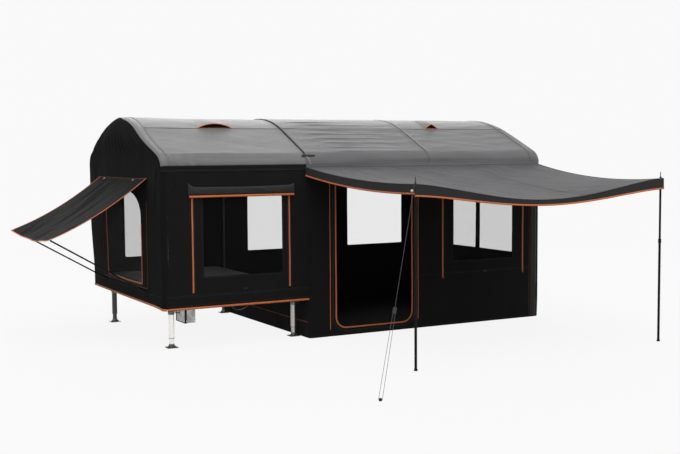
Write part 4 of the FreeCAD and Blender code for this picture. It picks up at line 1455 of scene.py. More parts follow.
    def build_cover_roll(self) -> None:
        """Rolled window cover over the front window, with its orange lower edge."""
        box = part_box("pod_cover_roll")
        x0, x1 = box[0].x + self.roll_shift, box[1].x + self.roll_shift
        low, high, back = self.roll_cloth_low, box[1].z, box[1].y
        deep = back - box[0].y
        slack, fine = Slack(0.005, (0.33, 0.5), 21), Slack(0.003, (0.09, 0.7), 22)
        t, turn = np.meshgrid(np.linspace(0, 1, 181), np.linspace(0, 2 * math.pi, 33)[:-1], indexing="ij")
        ends = np.clip(np.minimum(t, 1 - t) / 0.012, 0, 1) ** 0.5
        left, right = np.exp(-((t / 0.028) ** 2)), np.exp(-(((1 - t) / 0.022) ** 2))
        cos, sin = np.cos(turn), np.sin(turn)
        wide, up = np.sign(cos) * np.abs(cos) ** 0.75, np.sign(sin) * np.abs(sin) ** 0.8
        top = np.clip(sin, 0, 1)
        ears = (0.036 * left + 0.016 * right - 0.010 * np.sin(np.pi * t)) * top
        ripple = slack.rise(t * (x1 - x0), turn * 0.08) + fine.rise(t * (x1 - x0), turn * 0.08)
        ease = np.clip(np.minimum(t, 1 - t) / 0.05, 0, 1) * np.clip(cos, 0, 1) ** 0.5
        x = x0 + (x1 - x0) * t
        y = back - deep / 2 * (1 + wide * ends * (1 - 0.35 * top**2)) - np.maximum(ripple, -0.007) * ease
        z = (low + high) / 2 + (high - low) / 2 * up + ears
        points = np.stack([x, np.maximum(y, box[0].y - 0.006), z], axis=-1)
        made = closed_tube("pod_cover_roll_cloth", points, self.shop.looks[Look.ROLL])
        self.shop.settle(made, WALL_SLOT, ["pod_cover_roll"])
        run = np.linspace(x0 + 0.012, x1 - 0.005, 61)
        line = np.stack([run, 0 * run + back - 0.6 * deep, 0 * run + self.roll_bar], axis=1)
        self.shop.tape("pod_cover_roll_piping", [Path.facing(line, (0.0, -1.0, 0.0))], 0.024, 0.024,
                       Look.PIPING, sides=14)


def closed_tube(name: str, points: Array, material: Material) -> Object:
    """Closed form from rings of points, with a flat fan at each end."""
    rings, around = points.shape[:2]
    faces = [(i * around + j, (i + 1) * around + j, (i + 1) * around + k, i * around + k)
             for i in range(rings - 1) for j in range(around) for k in [(j + 1) % around]]
    faces += [tuple(range(around)), tuple(reversed(range((rings - 1) * around, rings * around)))]
    flat = points.reshape(-1, 3)
    mesh = bpy.data.meshes.new(name)
    mesh.from_pydata(flat.tolist(), [], faces)
    turn_out(mesh)
    girth = np.arange(len(flat)) % around / around * 0.3
    finish_mesh(mesh, np.stack([flat[:, 0], girth], axis=1), 60, material)
    return new_object(name, mesh)


def turn_out(mesh: Mesh) -> None:
    """Turns every face of a closed mesh outwards."""
    form = bmesh.new()
    form.from_mesh(mesh)
    bmesh.ops.remove_doubles(form, verts=form.verts, dist=1e-6)
    bmesh.ops.recalc_face_normals(form, faces=form.faces)
    form.to_mesh(mesh)
    form.free()


def lathe(name: str, profile: Sequence[Point2], centre: Sequence[float], material: Material) -> Object:
    """Upright turned form from a profile of radius and height."""
    sides = 20
    turn = math.pi * (1 + 2 * np.arange(sides) / sides)
    rings = [np.stack([radius * np.cos(turn), radius * np.sin(turn), height + 0 * turn],
                      axis=1) + np.array(centre) for radius, height in profile]
    return closed_tube(name, np.array(rings), material)


# Room


@dataclass
class Room:
    """Room on the ground: walls with door and windows, low wall, roof, floor and trims."""

    shop: Workshop
    left: float = -0.060
    right: float = 3.020
    rounding: float = 0.045
    skirt_rounding: float = 0.030
    deck_height: float = 0.430
    wall_top: float = 1.833
    roof_left: float = -0.085
    roof_seam: float = 0.605
    roof_grow: float = 0.0053
    band: float = 0.028
    bar_run: float = 1.286
    roof_hem: float = 1.813
    door: Opening = Opening("door", 0.268, 1.232, sill=0.087, head=1.765, corner=0.120, steps=8)
    front_window: Opening = Opening("front", 1.800, 2.638)
    rear_windows: tuple[Opening, ...] = (Opening("rear_left", 0.322, 1.180),
                                         Opening("rear_right", 1.784, 2.638))
    panes: tuple[Opening, ...] = (Opening("end_near", -0.749, -0.045, head=1.600),
                                  Opening("end_far", 0.045, 0.749, head=1.600))
    hoop_welts: tuple[float, float] = (1.475, 2.900)
    seam_low: float = 0.600
    tape_top: float = 1.80
    skirt_line: float = 0.170

    def __post_init__(self) -> None:
        """Lays out the room's cloth surfaces with their folds."""
        section = self.shop.section
        end = self.right - self.rounding
        billow = Billow(start=2.80, full=self.right, lean=0.028, foot=-0.5, corner=-1.0, power=3.0,
                        crown=-0.030, crown_height=2.35, crown_reach=0.12, peak=0.0, tip=0.0)
        pulls = [Crease((end - 0.01, 1.80 - 0.03 * i), (end - 0.22 - 0.06 * i, 1.66 - 0.10 * i), 0.016, 0.005)
                 for i in range(3)]
        drops = [Crease((x, 0.03), (x + 0.02, 0.58), 0.016, 0.0035) for x in (1.42, 1.55, 2.05, 2.5, 2.86)]
        beside_door = [Crease((x, 0.25), (x - 0.01, 1.70), 0.014, 0.003) for x in (0.11, 1.385, 1.52)]
        slack = Window(Slack(0.005, (0.7, 0.9), 31), (self.left, 0.0), (end, self.wall_top), (0.05, 0.05))
        self.front = billow.over(long_wall(section, -1, 0.0, [slack, *pulls, *drops, *beside_door]))
        back = Window(Slack(0.005, (0.8, 0.9), 32), (self.left, 0.0), (end, self.wall_top), (0.05, 0.05))
        self.rear = billow.over(long_wall(section, 1, 0.0, [back, *pulls]))
        swell = Bulge((0.0, 1.15), (1.24, 1.15), 0.018)
        fan = [Crease((0.03 * i, 2.34 - 0.012 * abs(i)), (0.08 * i, 2.04 + 0.02 * abs(i)), 0.013, 0.003)
               for i in range(-4, 5)]
        loose = Window(Slack(0.004, (0.7, 0.9), 33), (-1.2, 0.0), (1.2, 2.3), (0.1, 0.05))
        self.end = billow.over(end_wall(section, self.right, 1, 0.0, self.rounding, [swell, *fan, loose]))
        eave = sum(section.spans)
        self.hem_run = section.run_to(self.roof_hem)
        self.band_run = eave - self.band
        self.curl = Curl(end, 0.039)
        ripples = Window(Slack(0.003, (1.2, 0.16), 34), (self.roof_left, -eave), (end, eave),
                         (0.10, 0.10))
        lengthwise = [Crease((0.05 * i, side * run), (reach, side * (run + 0.02)), 0.010, height)
                      for side in (-1, 1) for reach, height in ((1.40, 0.0045), (0.75, 0.0050))
                      for i, run in enumerate((0.36, 0.47, 0.62, 0.74, 0.86, 0.98, 1.10, 1.20))]
        lengthwise += [Crease((0.5, side * (eave + run)), (3.0, side * (eave + run)), width, height)
                       for side in (-1, 1)
                       for run, width, height in ((-0.042, 0.014, -0.008), (0.002, 0.010, 0.007))]
        bows = [Crease((x, side * 0.1), (x, side * (eave - 0.02)), 0.03, 0.006)
                for side in (-1, 1) for x in self.hoop_welts]
        self.roof = billow.over(roof_surface(section, self.roof_grow, self.curl,
                                             [ripples, *lengthwise, *bows]))
        self.skirt = Surface(self.skirt_place, [Window(Slack(0.004, (0.5, 0.5), 35), (-1.2, 0.0), (1.2, 0.43),
                                                       (0.05, 0.05))], flip=True)
        self.floor = ground_surface(0.005, [Window(Slack(0.0012, (0.5, 0.5), 36), (self.left, -1.23),
                                                   (self.right, 1.23), (0.1, 0.1))])

    def skirt_place(self, run: Array, z: Array) -> Array:
        """Low wall over the distance along it and the height; its ends curl onto the long walls."""
        radius = self.skirt_rounding
        flat = self.shop.section.half_depth - radius
        turn = np.clip((np.abs(run) - flat) / radius, 0, math.pi / 2)
        y = np.sign(run) * (np.minimum(np.abs(run), flat) + radius * np.sin(turn))
        x = self.left + radius * (1 - np.cos(turn))
        return together(x, y, z)

    def build(self) -> None:
        """Makes every piece of the room."""
        self.build_long_walls()
        self.build_ends()
        self.build_roof()
        self.build_screens()
        self.build_piping()
        self.build_floor()

    def build_long_walls(self) -> None:
        """Front wall with doorway and window, and rear wall with two windows."""
        end, skirt = self.right - self.rounding, self.left + self.skirt_rounding
        border = [(skirt, 0.0), (end, 0.0), (end, self.wall_top), (self.left, self.wall_top),
                  (self.left, self.deck_height), (skirt, self.deck_height)]
        for node, surface, openings, step in (
                ("room_front_wall", self.front, (self.door, self.front_window), 0.024),
                ("room_rear_wall", self.rear, self.rear_windows, 0.028)):
            wall = self.shop.panel(f"{node}_cloth", surface, border, [hole.outline() for hole in openings],
                                   step)
            self.shop.hang(wall, WALL_SLOT, [node], (end - self.left, self.wall_top), "hung", ROOM_HOOPS)

    def build_ends(self) -> None:
        """End wall with its two panes, and the low wall under the deck's edge."""
        section = self.shop.section
        end = self.shop.panel("room_end_wall_cloth", self.end, section.outline(0.0, 0.0, 0.02),
                              [pane.outline() for pane in self.panes], 0.026, Look.WALL,
                              section.rings(0.0, self.rounding, 0.001, 0.026))
        self.shop.hang(end, WALL_SLOT, ["room_end_wall"], (2 * section.half_depth, section.ridge_height),
                       "stretched", ROOM_HOOPS[-1:])
        reach = section.half_depth - self.skirt_rounding * (1 - math.pi / 2)
        bend = np.linspace(reach - 0.047, reach, 5)
        runs = np.concatenate([-bend[:0:-1], np.linspace(-bend[0], bend[0], 96), bend[1:]])
        low = self.shop.net("room_low_wall_cloth", self.skirt, runs, np.linspace(0.0, self.deck_height, 18),
                            Look.WALL)
        self.shop.hang(low, WALL_SLOT, ["room_low_wall"], (2 * reach, self.deck_height), "hung",
                       ["deck_frame"])

    def build_roof(self) -> None:
        """Roof skin with its hems, welts and stitches, and the fittings at the junction's eaves."""
        roof, band, bar, left = self.roof, self.band_run, self.bar_run, self.roof_left
        stations = np.concatenate([np.linspace(left, self.curl.start, 148), self.curl.stations()[1:]])
        # The room's roof, hem bands, edgings and welts take the darker copy of the roof cloth, which paints
        # in its shade.
        roof_cloth(self.shop, "room", roof, stations, 200, (band, self.hem_run), [Look.ROOF_PAINTED_SHADE] * 3,
                   ROOM_HOOPS)
        ends = (left + 0.024, self.curl.start + self.curl.reach - 0.004)
        welts = roof.uprights((*self.hoop_welts, *ends), -band, band, TAPE_LIFT)
        welts += roof.levels((-self.roof_seam, self.roof_seam), left, self.curl.start, TAPE_LIFT)
        self.shop.tape("room_roof_welts", welts, 0.012, 0.005, Look.ROOF_PAINTED_SHADE, ROOF_SLOT, 6)
        rows = roof.uprights([x + d for x in self.hoop_welts for d in (-ROW_GAP, ROW_GAP)], -band, band,
                             0.0008)
        self.shop.stitches("room_roof_stitches", rows, ROOF_SLOT)
        # A black tape along the room roof's edge: partly its real edge binding, partly painted shadow of the
        # edge where it overlaps the pod's roof.
        edge = roof.uprights([left + 0.007], -bar, bar)
        self.shop.tape("room_roof_edge_binding", edge, 0.018, 0.008, Look.BINDING)
        bars = roof.levels((-bar, bar), -0.116, 0.032, 0.004)
        self.shop.tape("junction_eave_bars", bars, 0.024, 0.012, Look.PLASTIC, "black_plastic", 10)
        straps = [roof.line([(-0.065, side * (bar + 0.010)), (-0.035, side * band)], 0.004)
                  for side in (-1, 1)]
        self.shop.tape("junction_straps", straps, 0.016, 0.004, Look.WEBBING, "guy_cord")

    def build_screens(self) -> None:
        """Mesh in the front, rear and end windows."""
        for word, surface, shift, windows, look in (
                ("front", self.front, (0.0, CLOTH, 0.0), [self.front_window], Look.SCREEN),
                ("rear", self.rear, (0.0, -CLOTH, 0.0), self.rear_windows, Look.SCREEN_FINE),
                ("end", self.end, (-CLOTH, 0.0, 0.0), self.panes, Look.SCREEN)):
            for window in windows:
                self.shop.screen("room_screens", f"room_screen_{window.name}", moved(surface, shift), window,
                                 look, f"room_{word}_wall_cloth")

    def build_piping(self) -> None:
        """Orange tapes, zips, seams and stitches on the walls."""
        front, gable, skirt = self.front, self.end, self.skirt
        end, seam, deck, top = self.right - self.rounding, self.seam_low, self.deck_height, self.tape_top
        strips = front.uprights([2.932], 0.006, top, 0.0006)
        self.shop.tape("room_corner_strip", strips, 0.092, 0.004, Look.ROLL)
        tapes = [front.line(self.door.outline(0.004), TAPE_LIFT, closed=True)]
        zips = [front.line(self.door.outline(0.036), TAPE_LIFT, closed=True)]
        rows = [front.line(self.door.outline(0.052), THREAD_LIFT, closed=True)]
        seams = front.levels([seam], 1.36, end)
        for surface, windows in ((front, [self.front_window]), (self.rear, self.rear_windows)):
            for pane in windows:
                left, right = pane.left - 0.150, pane.right + 0.155
                tapes += surface.uprights((left, right), 0.569, top, TAPE_LIFT)
                zips += surface.uprights((left + ZIP_GAP, right - ZIP_GAP), 0.60, 1.72, TAPE_LIFT)
                rows += surface.uprights((left - COVER_ROW_GAP, right + COVER_ROW_GAP), 0.58, top,
                                         THREAD_LIFT)
                rows.append(surface.line(pane.outline(THREAD_MARGIN), THREAD_LIFT, closed=True))
                seams.append(surface.line(pane.outline(SEAM_MARGIN), closed=True))
        seams += self.rear.levels([seam], self.left + 0.03, end)
        for surface in (front, self.rear):
            seams += surface.uprights([end - 0.03], 0.0, self.wall_top)
            rows += surface.levels([0.02], self.left + 0.035, end, THREAD_LIFT)
        rows += front.levels((seam - 0.008, seam + 0.008), 1.36, end, THREAD_LIFT)
        for pane in self.panes:
            rows.append(gable.line(pane.outline(THREAD_MARGIN), THREAD_LIFT, closed=True))
            seams.append(gable.line(pane.outline(SEAM_MARGIN), closed=True))
        tapes += gable.uprights((-0.80, 0.80), 0.60, 1.62, TAPE_LIFT)
        zips += gable.uprights((-0.782, 0.0, 0.782), 0.60, 1.62, TAPE_LIFT)
        seams += gable.levels([seam], -1.19, 1.19) + skirt.levels([deck - 0.012], -1.2, 1.2)
        slim = [front.line([(x, low), (x, top)], TAPE_LIFT) for x, low in ((0.194, 0.071), (1.318, 0.104))]
        corner = front.uprights([2.882], 0.02, top, TAPE_LIFT)
        foot = skirt.levels([self.skirt_line], -1.20, 1.20, TAPE_LIFT)
        # The skirt and corner lines use the darker orange that paints in their shade.
        for name, lines, width, thickness, look in (
                ("piping", tapes, 0.017, 0.006, Look.PIPING),
                ("skirt_piping", foot, 0.014, 0.006, Look.PIPING_PAINTED_SHADE),
                ("corner_piping", corner, 0.005, 0.004, Look.PIPING_PAINTED_SHADE),
                ("slim_piping", slim, 0.008, 0.005, Look.PIPING)):
            self.shop.tape(f"room_{name}", lines, width, thickness, look, sides=10)
        self.shop.tape("room_seams", seams, 0.010, 0.003, Look.WALL, sides=6)
        tabs = front.levels([seam - 0.006], 2.216, 2.276, 0.002)
        self.shop.tape("room_window_tab", tabs, 0.014, 0.004, Look.BINDING)
        self.shop.zips("room_zips", zips)
        self.shop.stitches("room_stitches", rows)
        spots = [front.spot(x, 0.555, 0.003)
                 for x in (self.front_window.left - 0.150, self.front_window.right + 0.155)]
        self.shop.eyelets("room_window_rings", spots, 0.010, 0.005, Look.PIPING, WALL_SLOT)

    def build_floor(self) -> None:
        """Ground sheet."""
        half = self.shop.section.half_depth - self.roof_grow
        stations = np.linspace(self.left + self.roof_grow, self.right - self.roof_grow, 90)
        sheet = self.shop.net("ground_sheet_cloth", self.floor, stations, np.linspace(-half, half, 80),
                              Look.GROUND)
        self.shop.hang(sheet, "ground_sheet", ["ground_sheet"], (self.right - self.left, 2 * half), "laid",
                       ROOM_HOOPS[:1])


# Frame, deck and legs


@dataclass
class HoopFrame:
    """Steel hoops that carry the roof, with the clips that hold the cloth to them."""

    shop: Workshop
    nodes: tuple[str, ...] = ("hoop_pod_end", "hoop_junction", "hoop_room_middle", "hoop_room_end")
    clip_heights: tuple[float, ...] = (0.95, 1.35, 1.70)

    def build(self) -> None:
        """Finishes the hoops and adds clips on their posts."""
        # The hoops' grey paint is darkened to near black to paint in the shade inside the tent.
        self.shop.dress(Look.HOOP_PAINTED_SHADE, *self.nodes)
        loops = []
        for node in self.nodes:
            low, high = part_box(node)
            x, radius = (low.x + high.x) / 2, (high.x - low.x) / 2
            loops += [Path.ring((x, side * (high.y - radius), z), radius + 0.0012, 16)
                      for side in (-1, 1) for z in self.clip_heights]
        self.shop.tape("hoop_clips", loops, 0.018, 0.0024, Look.PLASTIC, "black_plastic")


@dataclass
class Deck:
    """Deck frame, plywood board and mattress."""

    shop: Workshop
    voxel: float = 0.032
    swell: float = 0.014
    shrink: float = 0.012
    frames: int = 18

    def build(self) -> None:
        """Finishes the frame and board, and makes the mattress and the screws."""
        self.shop.dress(Look.DECK, "deck_frame")
        self.shop.dress(Look.PLYWOOD, "deck_board")
        self.build_mattress()
        low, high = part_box("deck_board")
        spots = [Path.facing([(x, y, high.z - 0.001)], (0.0, 0.0, 1.0))
                 for x in np.linspace(low.x + 0.02, high.x - 0.02, 8) for y in (low.y + 0.02, high.y - 0.02)]
        self.shop.bolts("deck_screws", spots, 0.010, 0.003, "leg_steel")

    def build_mattress(self) -> None:
        """Crowned mattress, swollen under pressure up to a cap."""
        low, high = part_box("mattress")
        mesh = bpy.data.meshes.new("mattress_cover")
        form = bmesh.new()
        bmesh.ops.create_cube(form, size=1.0)
        size = Vector([end - start - 2 * self.shrink for start, end in zip(low, high)])
        centre = (low + high) / 2
        bmesh.ops.transform(form, matrix=Matrix.Translation(centre) @ Matrix.Diagonal((*size, 1.0)),
                            verts=form.verts)
        bmesh.ops.bevel(form, geom=form.edges, offset=0.022, segments=3, affect="EDGES")
        form.to_mesh(mesh)
        form.free()
        made = new_object("mattress_cover", mesh)
        remesh = made.modifiers.new("even", "REMESH")
        remesh.mode = "VOXEL"
        remesh.voxel_size = self.voxel
        self.apply(made)
        start = np.array([tuple(v.co) for v in made.data.vertices])
        self.inflate(made)
        moved = np.array([tuple(v.co) for v in made.data.vertices]) - start
        length = np.linalg.norm(moved, axis=1, keepdims=True)
        moved *= np.minimum(self.swell / np.maximum(length, 1e-9), 1)
        points = start + moved
        points[:, 2] = np.maximum(points[:, 2], low.z + 0.0002)
        made.data.vertices.foreach_set("co", points.ravel())
        finer = made.modifiers.new("finer", "SUBSURF")
        finer.levels = finer.render_levels = 1
        self.apply(made)
        made.data.materials.append(self.shop.looks[Look.MATTRESS])
        made.data.shade_smooth()
        self.shop.settle(made, "mattress_cloth", ["mattress"])

    def inflate(self, made: Object) -> None:
        """Lets cloth simulation swell a closed form."""
        cloth = made.modifiers.new("swell", "CLOTH")
        cloth.settings.use_pressure = True
        cloth.settings.uniform_pressure_force = 4.0
        cloth.settings.effector_weights.gravity = 0.0
        cloth.settings.quality = 4
        cloth.settings.tension_stiffness = 12.0
        scene = bpy.context.scene
        for frame in range(1, self.frames + 1):
            scene.frame_set(frame)
        self.apply(made)
        scene.frame_set(1)

    @staticmethod
    def apply(made: Object) -> None:
        """Keeps the result of the object's modifiers and takes them off."""
        mesh = evaluated_mesh(made)
        made.modifiers.clear()
        made.data = mesh


@dataclass
class Legs:
    """Four telescopic legs: zinc sleeves, tubes, feet and clamps, with bolts, welds, collars and brackets."""

    shop: Workshop
    names: tuple[str, ...] = ("front_left", "rear_left", "front_right", "rear_right")
    plate: float = 0.006
    plate_bolt_offset: float = 0.040
    weld: float = 0.006
    foot_weld: float = 0.005

    def build(self) -> None:
        """Finishes the solids and adds each leg's fittings."""
        self.shop.dress(Look.FOOT, "leg_clamps")
        # The front left leg keeps the plain zinc; the other legs take darker copies that paint in their
        # shade.
        for name, zinc_and_painted_shade in zip(self.names, (Look.ZINC, Look.ZINC_PAINTED_SHADE, Look.ZINC_PAINTED_HALF_SHADE, Look.ZINC_PAINTED_SHADE)):
            self.shop.dress(zinc_and_painted_shade, f"leg_sleeve_{name}", f"leg_tube_{name}")
            self.shop.dress(Look.FOOT, f"leg_foot_{name}")
            self.build_details(name)

    def build_details(self, name: str) -> None:
        """Bolts under the top plate, weld beads, collar and bracket of one leg."""
        sleeve, tube, foot = (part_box(f"leg_{part}_{name}") for part in ("sleeve", "tube", "foot"))
        x, y = (tube[0].x + tube[1].x) / 2, (tube[0].y + tube[1].y) / 2
        top, corners = sleeve[1].z - self.plate, (-self.plate_bolt_offset, self.plate_bolt_offset)
        spots = [Path.facing([(x + dx, y + dy, top)], (0.0, 0.0, -1.0)) for dx in corners for dy in corners]
        self.shop.bolts(f"leg_plate_bolts_{name}", spots, 0.013, 0.006, "leg_steel")
        welds = [Path.ring((x, y, z), radius, 24)
                 for z, radius in ((top - 0.001, 0.030), (sleeve[0].z + 0.004, 0.0292))]
        self.shop.tape(f"leg_weld_{name}", welds, self.weld, self.weld, Look.FOOT, "leg_steel")
        collar = Path.ring((x, y, top - 0.066), 0.031, 24)
        self.shop.tape(f"leg_collar_{name}", [collar], 0.036, 0.006, Look.FOOT, "foot_steel")
        bars = [Path.facing([(x + x0, y - back, top - z0), (x + x1, y - back, top - z1)], (0.0, -1.0, 0.0))
                for x0, x1, back, z0, z1 in ((-0.048, 0.044, 0.033, 0.050, 0.050),
                                             (0.030, 0.078, 0.030, 0.066, 0.066),
                                             (0.078, 0.078, 0.030, 0.082, 0.050))]
        self.shop.tape(f"leg_bracket_{name}", bars, 0.012, 0.010, Look.FOOT, "foot_steel")
        seat = Path.ring((x, y, foot[1].z - 0.001), 0.0255, 24)
        self.shop.tape(f"foot_weld_{name}", [seat], self.foot_weld, self.foot_weld, Look.FOOT, "foot_steel",
                       body=f"leg_{name}")


@dataclass
class ServiceBox:
    """Service box under the deck with its strap and screws."""

    shop: Workshop

    def build(self) -> None:
        """Finishes the box and its bracket and adds the strap and screws."""
        # The box's grey is raised above its own tone to paint in light that the deck's shade takes away.
        self.shop.dress(Look.SERVICE_PAINTED_LIGHT, "service_box")
        self.shop.dress(Look.BLACK, "service_bracket")
        low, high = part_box("service_box")
        x, lip = low.x + 0.05 * (high.x - low.x), 0.002
        loop = [(x, low.y - lip, high.z - 0.003), (x, low.y - lip, low.z - lip),
                (x, high.y + lip, low.z - lip), (x, high.y + lip, high.z - 0.003)]
        out = [(0.0, -1.0, 0.0), (0.0, -0.7, -0.7), (0.0, 0.7, -0.7), (0.0, 1.0, 0.0)]
        band = Path(np.array(loop), np.array(out))
        self.shop.tape("service_box_strap", [band], 0.024, 0.003, Look.BINDING, "black_plastic")
        spots = [Path.facing([(px, low.y - 0.0005, pz)], (0.0, -1.0, 0.0))
                 for px in (low.x + 0.014, high.x - 0.014) for pz in (low.z + 0.02, high.z - 0.02)]
        self.shop.bolts("service_box_screws", spots, 0.007, 0.003, "service_grey")


# Awnings


@dataclass
class RoomAwning:
    """Awning over the door: slack sheet, three hanging hems, bindings, eyelets and poles."""

    shop: Workshop
    root_left: float = -0.100
    root_right: float = 3.010
    front_left: float = -0.022
    front_right: float = 3.022
    root_y: float = -1.2559
    reach: float = 2.010
    wall_height: float = 1.832
    pole_height: float = 1.700
    front_sag: float = 0.181
    side_sags: tuple[float, float] = (0.043, 0.075)
    side_hems: tuple[float, float] = (0.090, 0.105)
    hem: float = 0.110
    hem_lift: float = 0.057
    pole_x: tuple[float, float] = (0.0, 3.0)
    pole_y: float = -3.243
    cloth: float = 0.002
    width: float = 3.110

    def __post_init__(self) -> None:
        """Lays out the sheet with its tension folds."""
        out = self.pole_y_run
        pulls = [Crease((x - way * 0.02, out - 0.01),
                        (x - way * length * math.cos(turn), out - length * math.sin(turn)), width, height)
                 for x, way, width, height, turns in (
                     (self.width * 0.993, 1, 0.018, 0.005,
                      ((0.08, 1.5), (0.20, 1.7), (0.36, 1.5), (0.55, 1.2), (0.8, 1.0), (1.1, 0.9))),
                     (self.width * 0.007, -1, 0.016, 0.006,
                      ((0.08, 0.9), (0.25, 1.0), (0.5, 0.9), (0.8, 0.8), (1.15, 0.8))))
                 for turn, length in turns]
        rail = [Crease((0.15 + 0.31 * i, 0.01), (0.12 + 0.31 * i + 0.05 * (-1) ** i, 0.45), 0.025, 0.004)
                for i in range(10)]
        edge = [Crease((x, 0.05), (x - 0.02, 1.9), 0.022, height)
                for x, height in ((0.08, 0.009), (0.18, -0.008), (0.30, 0.008), (0.46, -0.006))]
        slack = Window(Slack(0.008, (0.9, 0.7), 41), (0.0, 0.0), (self.width, self.reach), (0.15, 0.12))
        self.sheet = Surface(self.sheet_place, [slack, *pulls, *rail, *edge], flip=True)

    @property
    def pole_y_run(self) -> float:
        """Distance of the poles from the awning's root."""
        return self.root_y - self.pole_y

    def height(self, u: Array, v: Array) -> Array:
        """Top of the sheet over its shares along the wall and outwards."""
        v = np.clip(v, 0, 1)
        fall = self.wall_height - (self.wall_height - self.pole_height) * v
        front = self.front_sag * np.sin(np.pi * np.clip(u, 0, 1)) ** 1.4 * v**1.4
        near, far = self.side_sags
        return fall - front - (near + (far - near) * u) * 4 * v * (1 - v)

    def hem_drop(self, side: int, share: Array) -> Array:
        """Depth of a hanging hem at a share along its edge."""
        if side == 0:
            return self.hem - self.hem_lift * np.sin(np.pi * np.clip(share, 0, 1)) ** 1.3
        return self.side_hems[side > 0] + 0 * share

    def sheet_place(self, along: Array, out: Array) -> Array:
        """Sheet over its running sizes along the wall and outwards, both in metres."""
        u, v = along / self.width, out / self.reach
        start = self.root_left + (self.root_right - self.root_left) * u
        end = self.front_left + (self.front_right - self.front_left) * u
        x = start + (end - start) * v
        return together(x, self.root_y - out, self.height(u, v))

    def hem_surface(self, side: int) -> Surface:
        """Hanging hem along the front, side 0, or along the left, -1, or right side, 1."""
        length = self.reach if side else self.width
        ripple = Slack(0.004, (0.42, 0.6), 45 + side, 3)

        def place(run: Array, drop: Array) -> Array:
            """Hem over the run along its edge and the drop below the sheet."""
            away = 0.0006 + 0.6 * np.clip(ripple.rise(run, 0 * drop) + 0.002, 0, 0.005) * drop / self.hem
            drop = drop * self.hem_drop(side, run / length) / self.hem
            if side == 0:
                base = self.sheet.at(run, self.reach + 0 * run)
                shift = np.stack([0 * run, -away, -drop], axis=-1)
            else:
                edge = 0.0 if side < 0 else self.width
                base = self.sheet.at(edge + 0 * run, run)
                shift = np.stack([side * away, 0 * run, -drop], axis=-1)
            return base + shift

        return Surface(place, [], flip=side < 0)

    def build(self) -> None:
        """Makes the sheet, hems, bindings, eyelets and pole fittings."""
        sheet, width, reach = self.sheet, self.width, self.reach
        top = self.shop.net("awning_cloth", sheet, np.linspace(0, width, 170), np.linspace(0, reach, 110),
                            Look.AWNING, self.cloth)
        self.shop.hang(top, ROOF_SLOT, ["awning"], (width, reach * 1.02), "stretched",
                       ["awning_rail", "awning_pole_left", "awning_pole_right"])
        edges, rows = [], []
        for side, name, length in ((0, "front", width), (-1, "left", reach), (1, "right", reach)):
            surface = self.hem_surface(side)
            hem = self.shop.net(f"awning_hem_{name}", surface, np.linspace(0, length, int(length / 0.02)),
                                np.linspace(0, self.hem, 6), Look.HEM, self.cloth)
            mean = float(np.mean(self.hem_drop(side, np.linspace(0, 1, 50))))
            self.shop.hang(hem, ROOF_SLOT, ["awning"], (length * 1.03, mean), "hung", [top.name])
            edges += surface.levels([self.hem - 0.004], 0.0, length, -0.001)
            rows += surface.levels([self.hem - 0.018], 0.0, length, THREAD_LIFT)
        # A black tape round the sheet's edge: partly a real binding, partly painted shadow along the fold
        # where the hems hang down.
        binding_and_shadow_line = sheet.line(three_sides(width, reach, 0.006, 0.02), 0.0008)
        rows.append(sheet.line(three_sides(width, reach, 0.03, 0.03), THREAD_LIFT))
        self.shop.tape("awning_piping", edges, 0.017, 0.012, Look.PIPING, ROOF_SLOT, 10)
        self.shop.tape("awning_binding_and_painted_shadow", [binding_and_shadow_line], 0.018, 0.005, Look.BINDING, ROOF_SLOT)
        self.shop.stitches("awning_stitches", rows, ROOF_SLOT)
        # A raised fold across the front hem in the lighter awning cloth; its lighter tone is painted
        # highlight.
        fold = self.hem_surface(0).levels([0.42 * self.hem], 0.26 * width, 0.80 * width, 0.002)
        self.shop.tape("awning_hem_fold_painted_highlight", fold, 0.013, 0.004, Look.AWNING, ROOF_SLOT, 6)
        seams = sheet.uprights((0.335 * width, 0.665 * width), 0.01, reach - 0.02, 0.0006)
        self.shop.tape("awning_seams", seams, 0.012, 0.0024, Look.AWNING, ROOF_SLOT, 6)
        self.build_pole_fittings()

    def build_pole_fittings(self) -> None:
        """Finishes rail and poles; adds eyelets, toggles and a bead."""
        self.shop.dress(Look.PLASTIC, "awning_rail")
        self.shop.dress(Look.BLACK, "awning_pole_left", "awning_pole_right")
        rings = []
        for index, x in enumerate(self.pole_x):
            along = self.width * (x - self.front_left) / (self.front_right - self.front_left)
            spot = self.sheet.spot(along, self.pole_y_run, 0.0015).points
            rings.append(Path.facing(spot, (0.0, 0.0, 1.0)))
            profile = [(0.0045, 0.004), (0.012, 0.004), (0.013, 0.007), (0.012, 0.013), (0.008, 0.017),
                       (0.0045, 0.018)]
            self.turned(f"pole_toggle_{index}", profile, (x, self.pole_y, float(spot[0, 2])), Look.PLASTIC)
        self.shop.eyelets("awning_eyelets", rings, 0.011, 0.005)
        bead = [(0.002, -0.013), (0.009, -0.010), (0.013, -0.003), (0.013, 0.003), (0.009, 0.010),
                (0.002, 0.013)]
        self.turned("awning_bead", bead, (-0.045, self.pole_y - 0.012, 1.640), Look.WHITE_PLASTIC)

    def turned(self, name: str, profile: Sequence[Point2], centre: Sequence[float], look: Look) -> None:
        """Small turned plastic piece."""
        self.shop.settle(lathe(name, profile, centre, self.shop.looks[look]), "black_plastic")


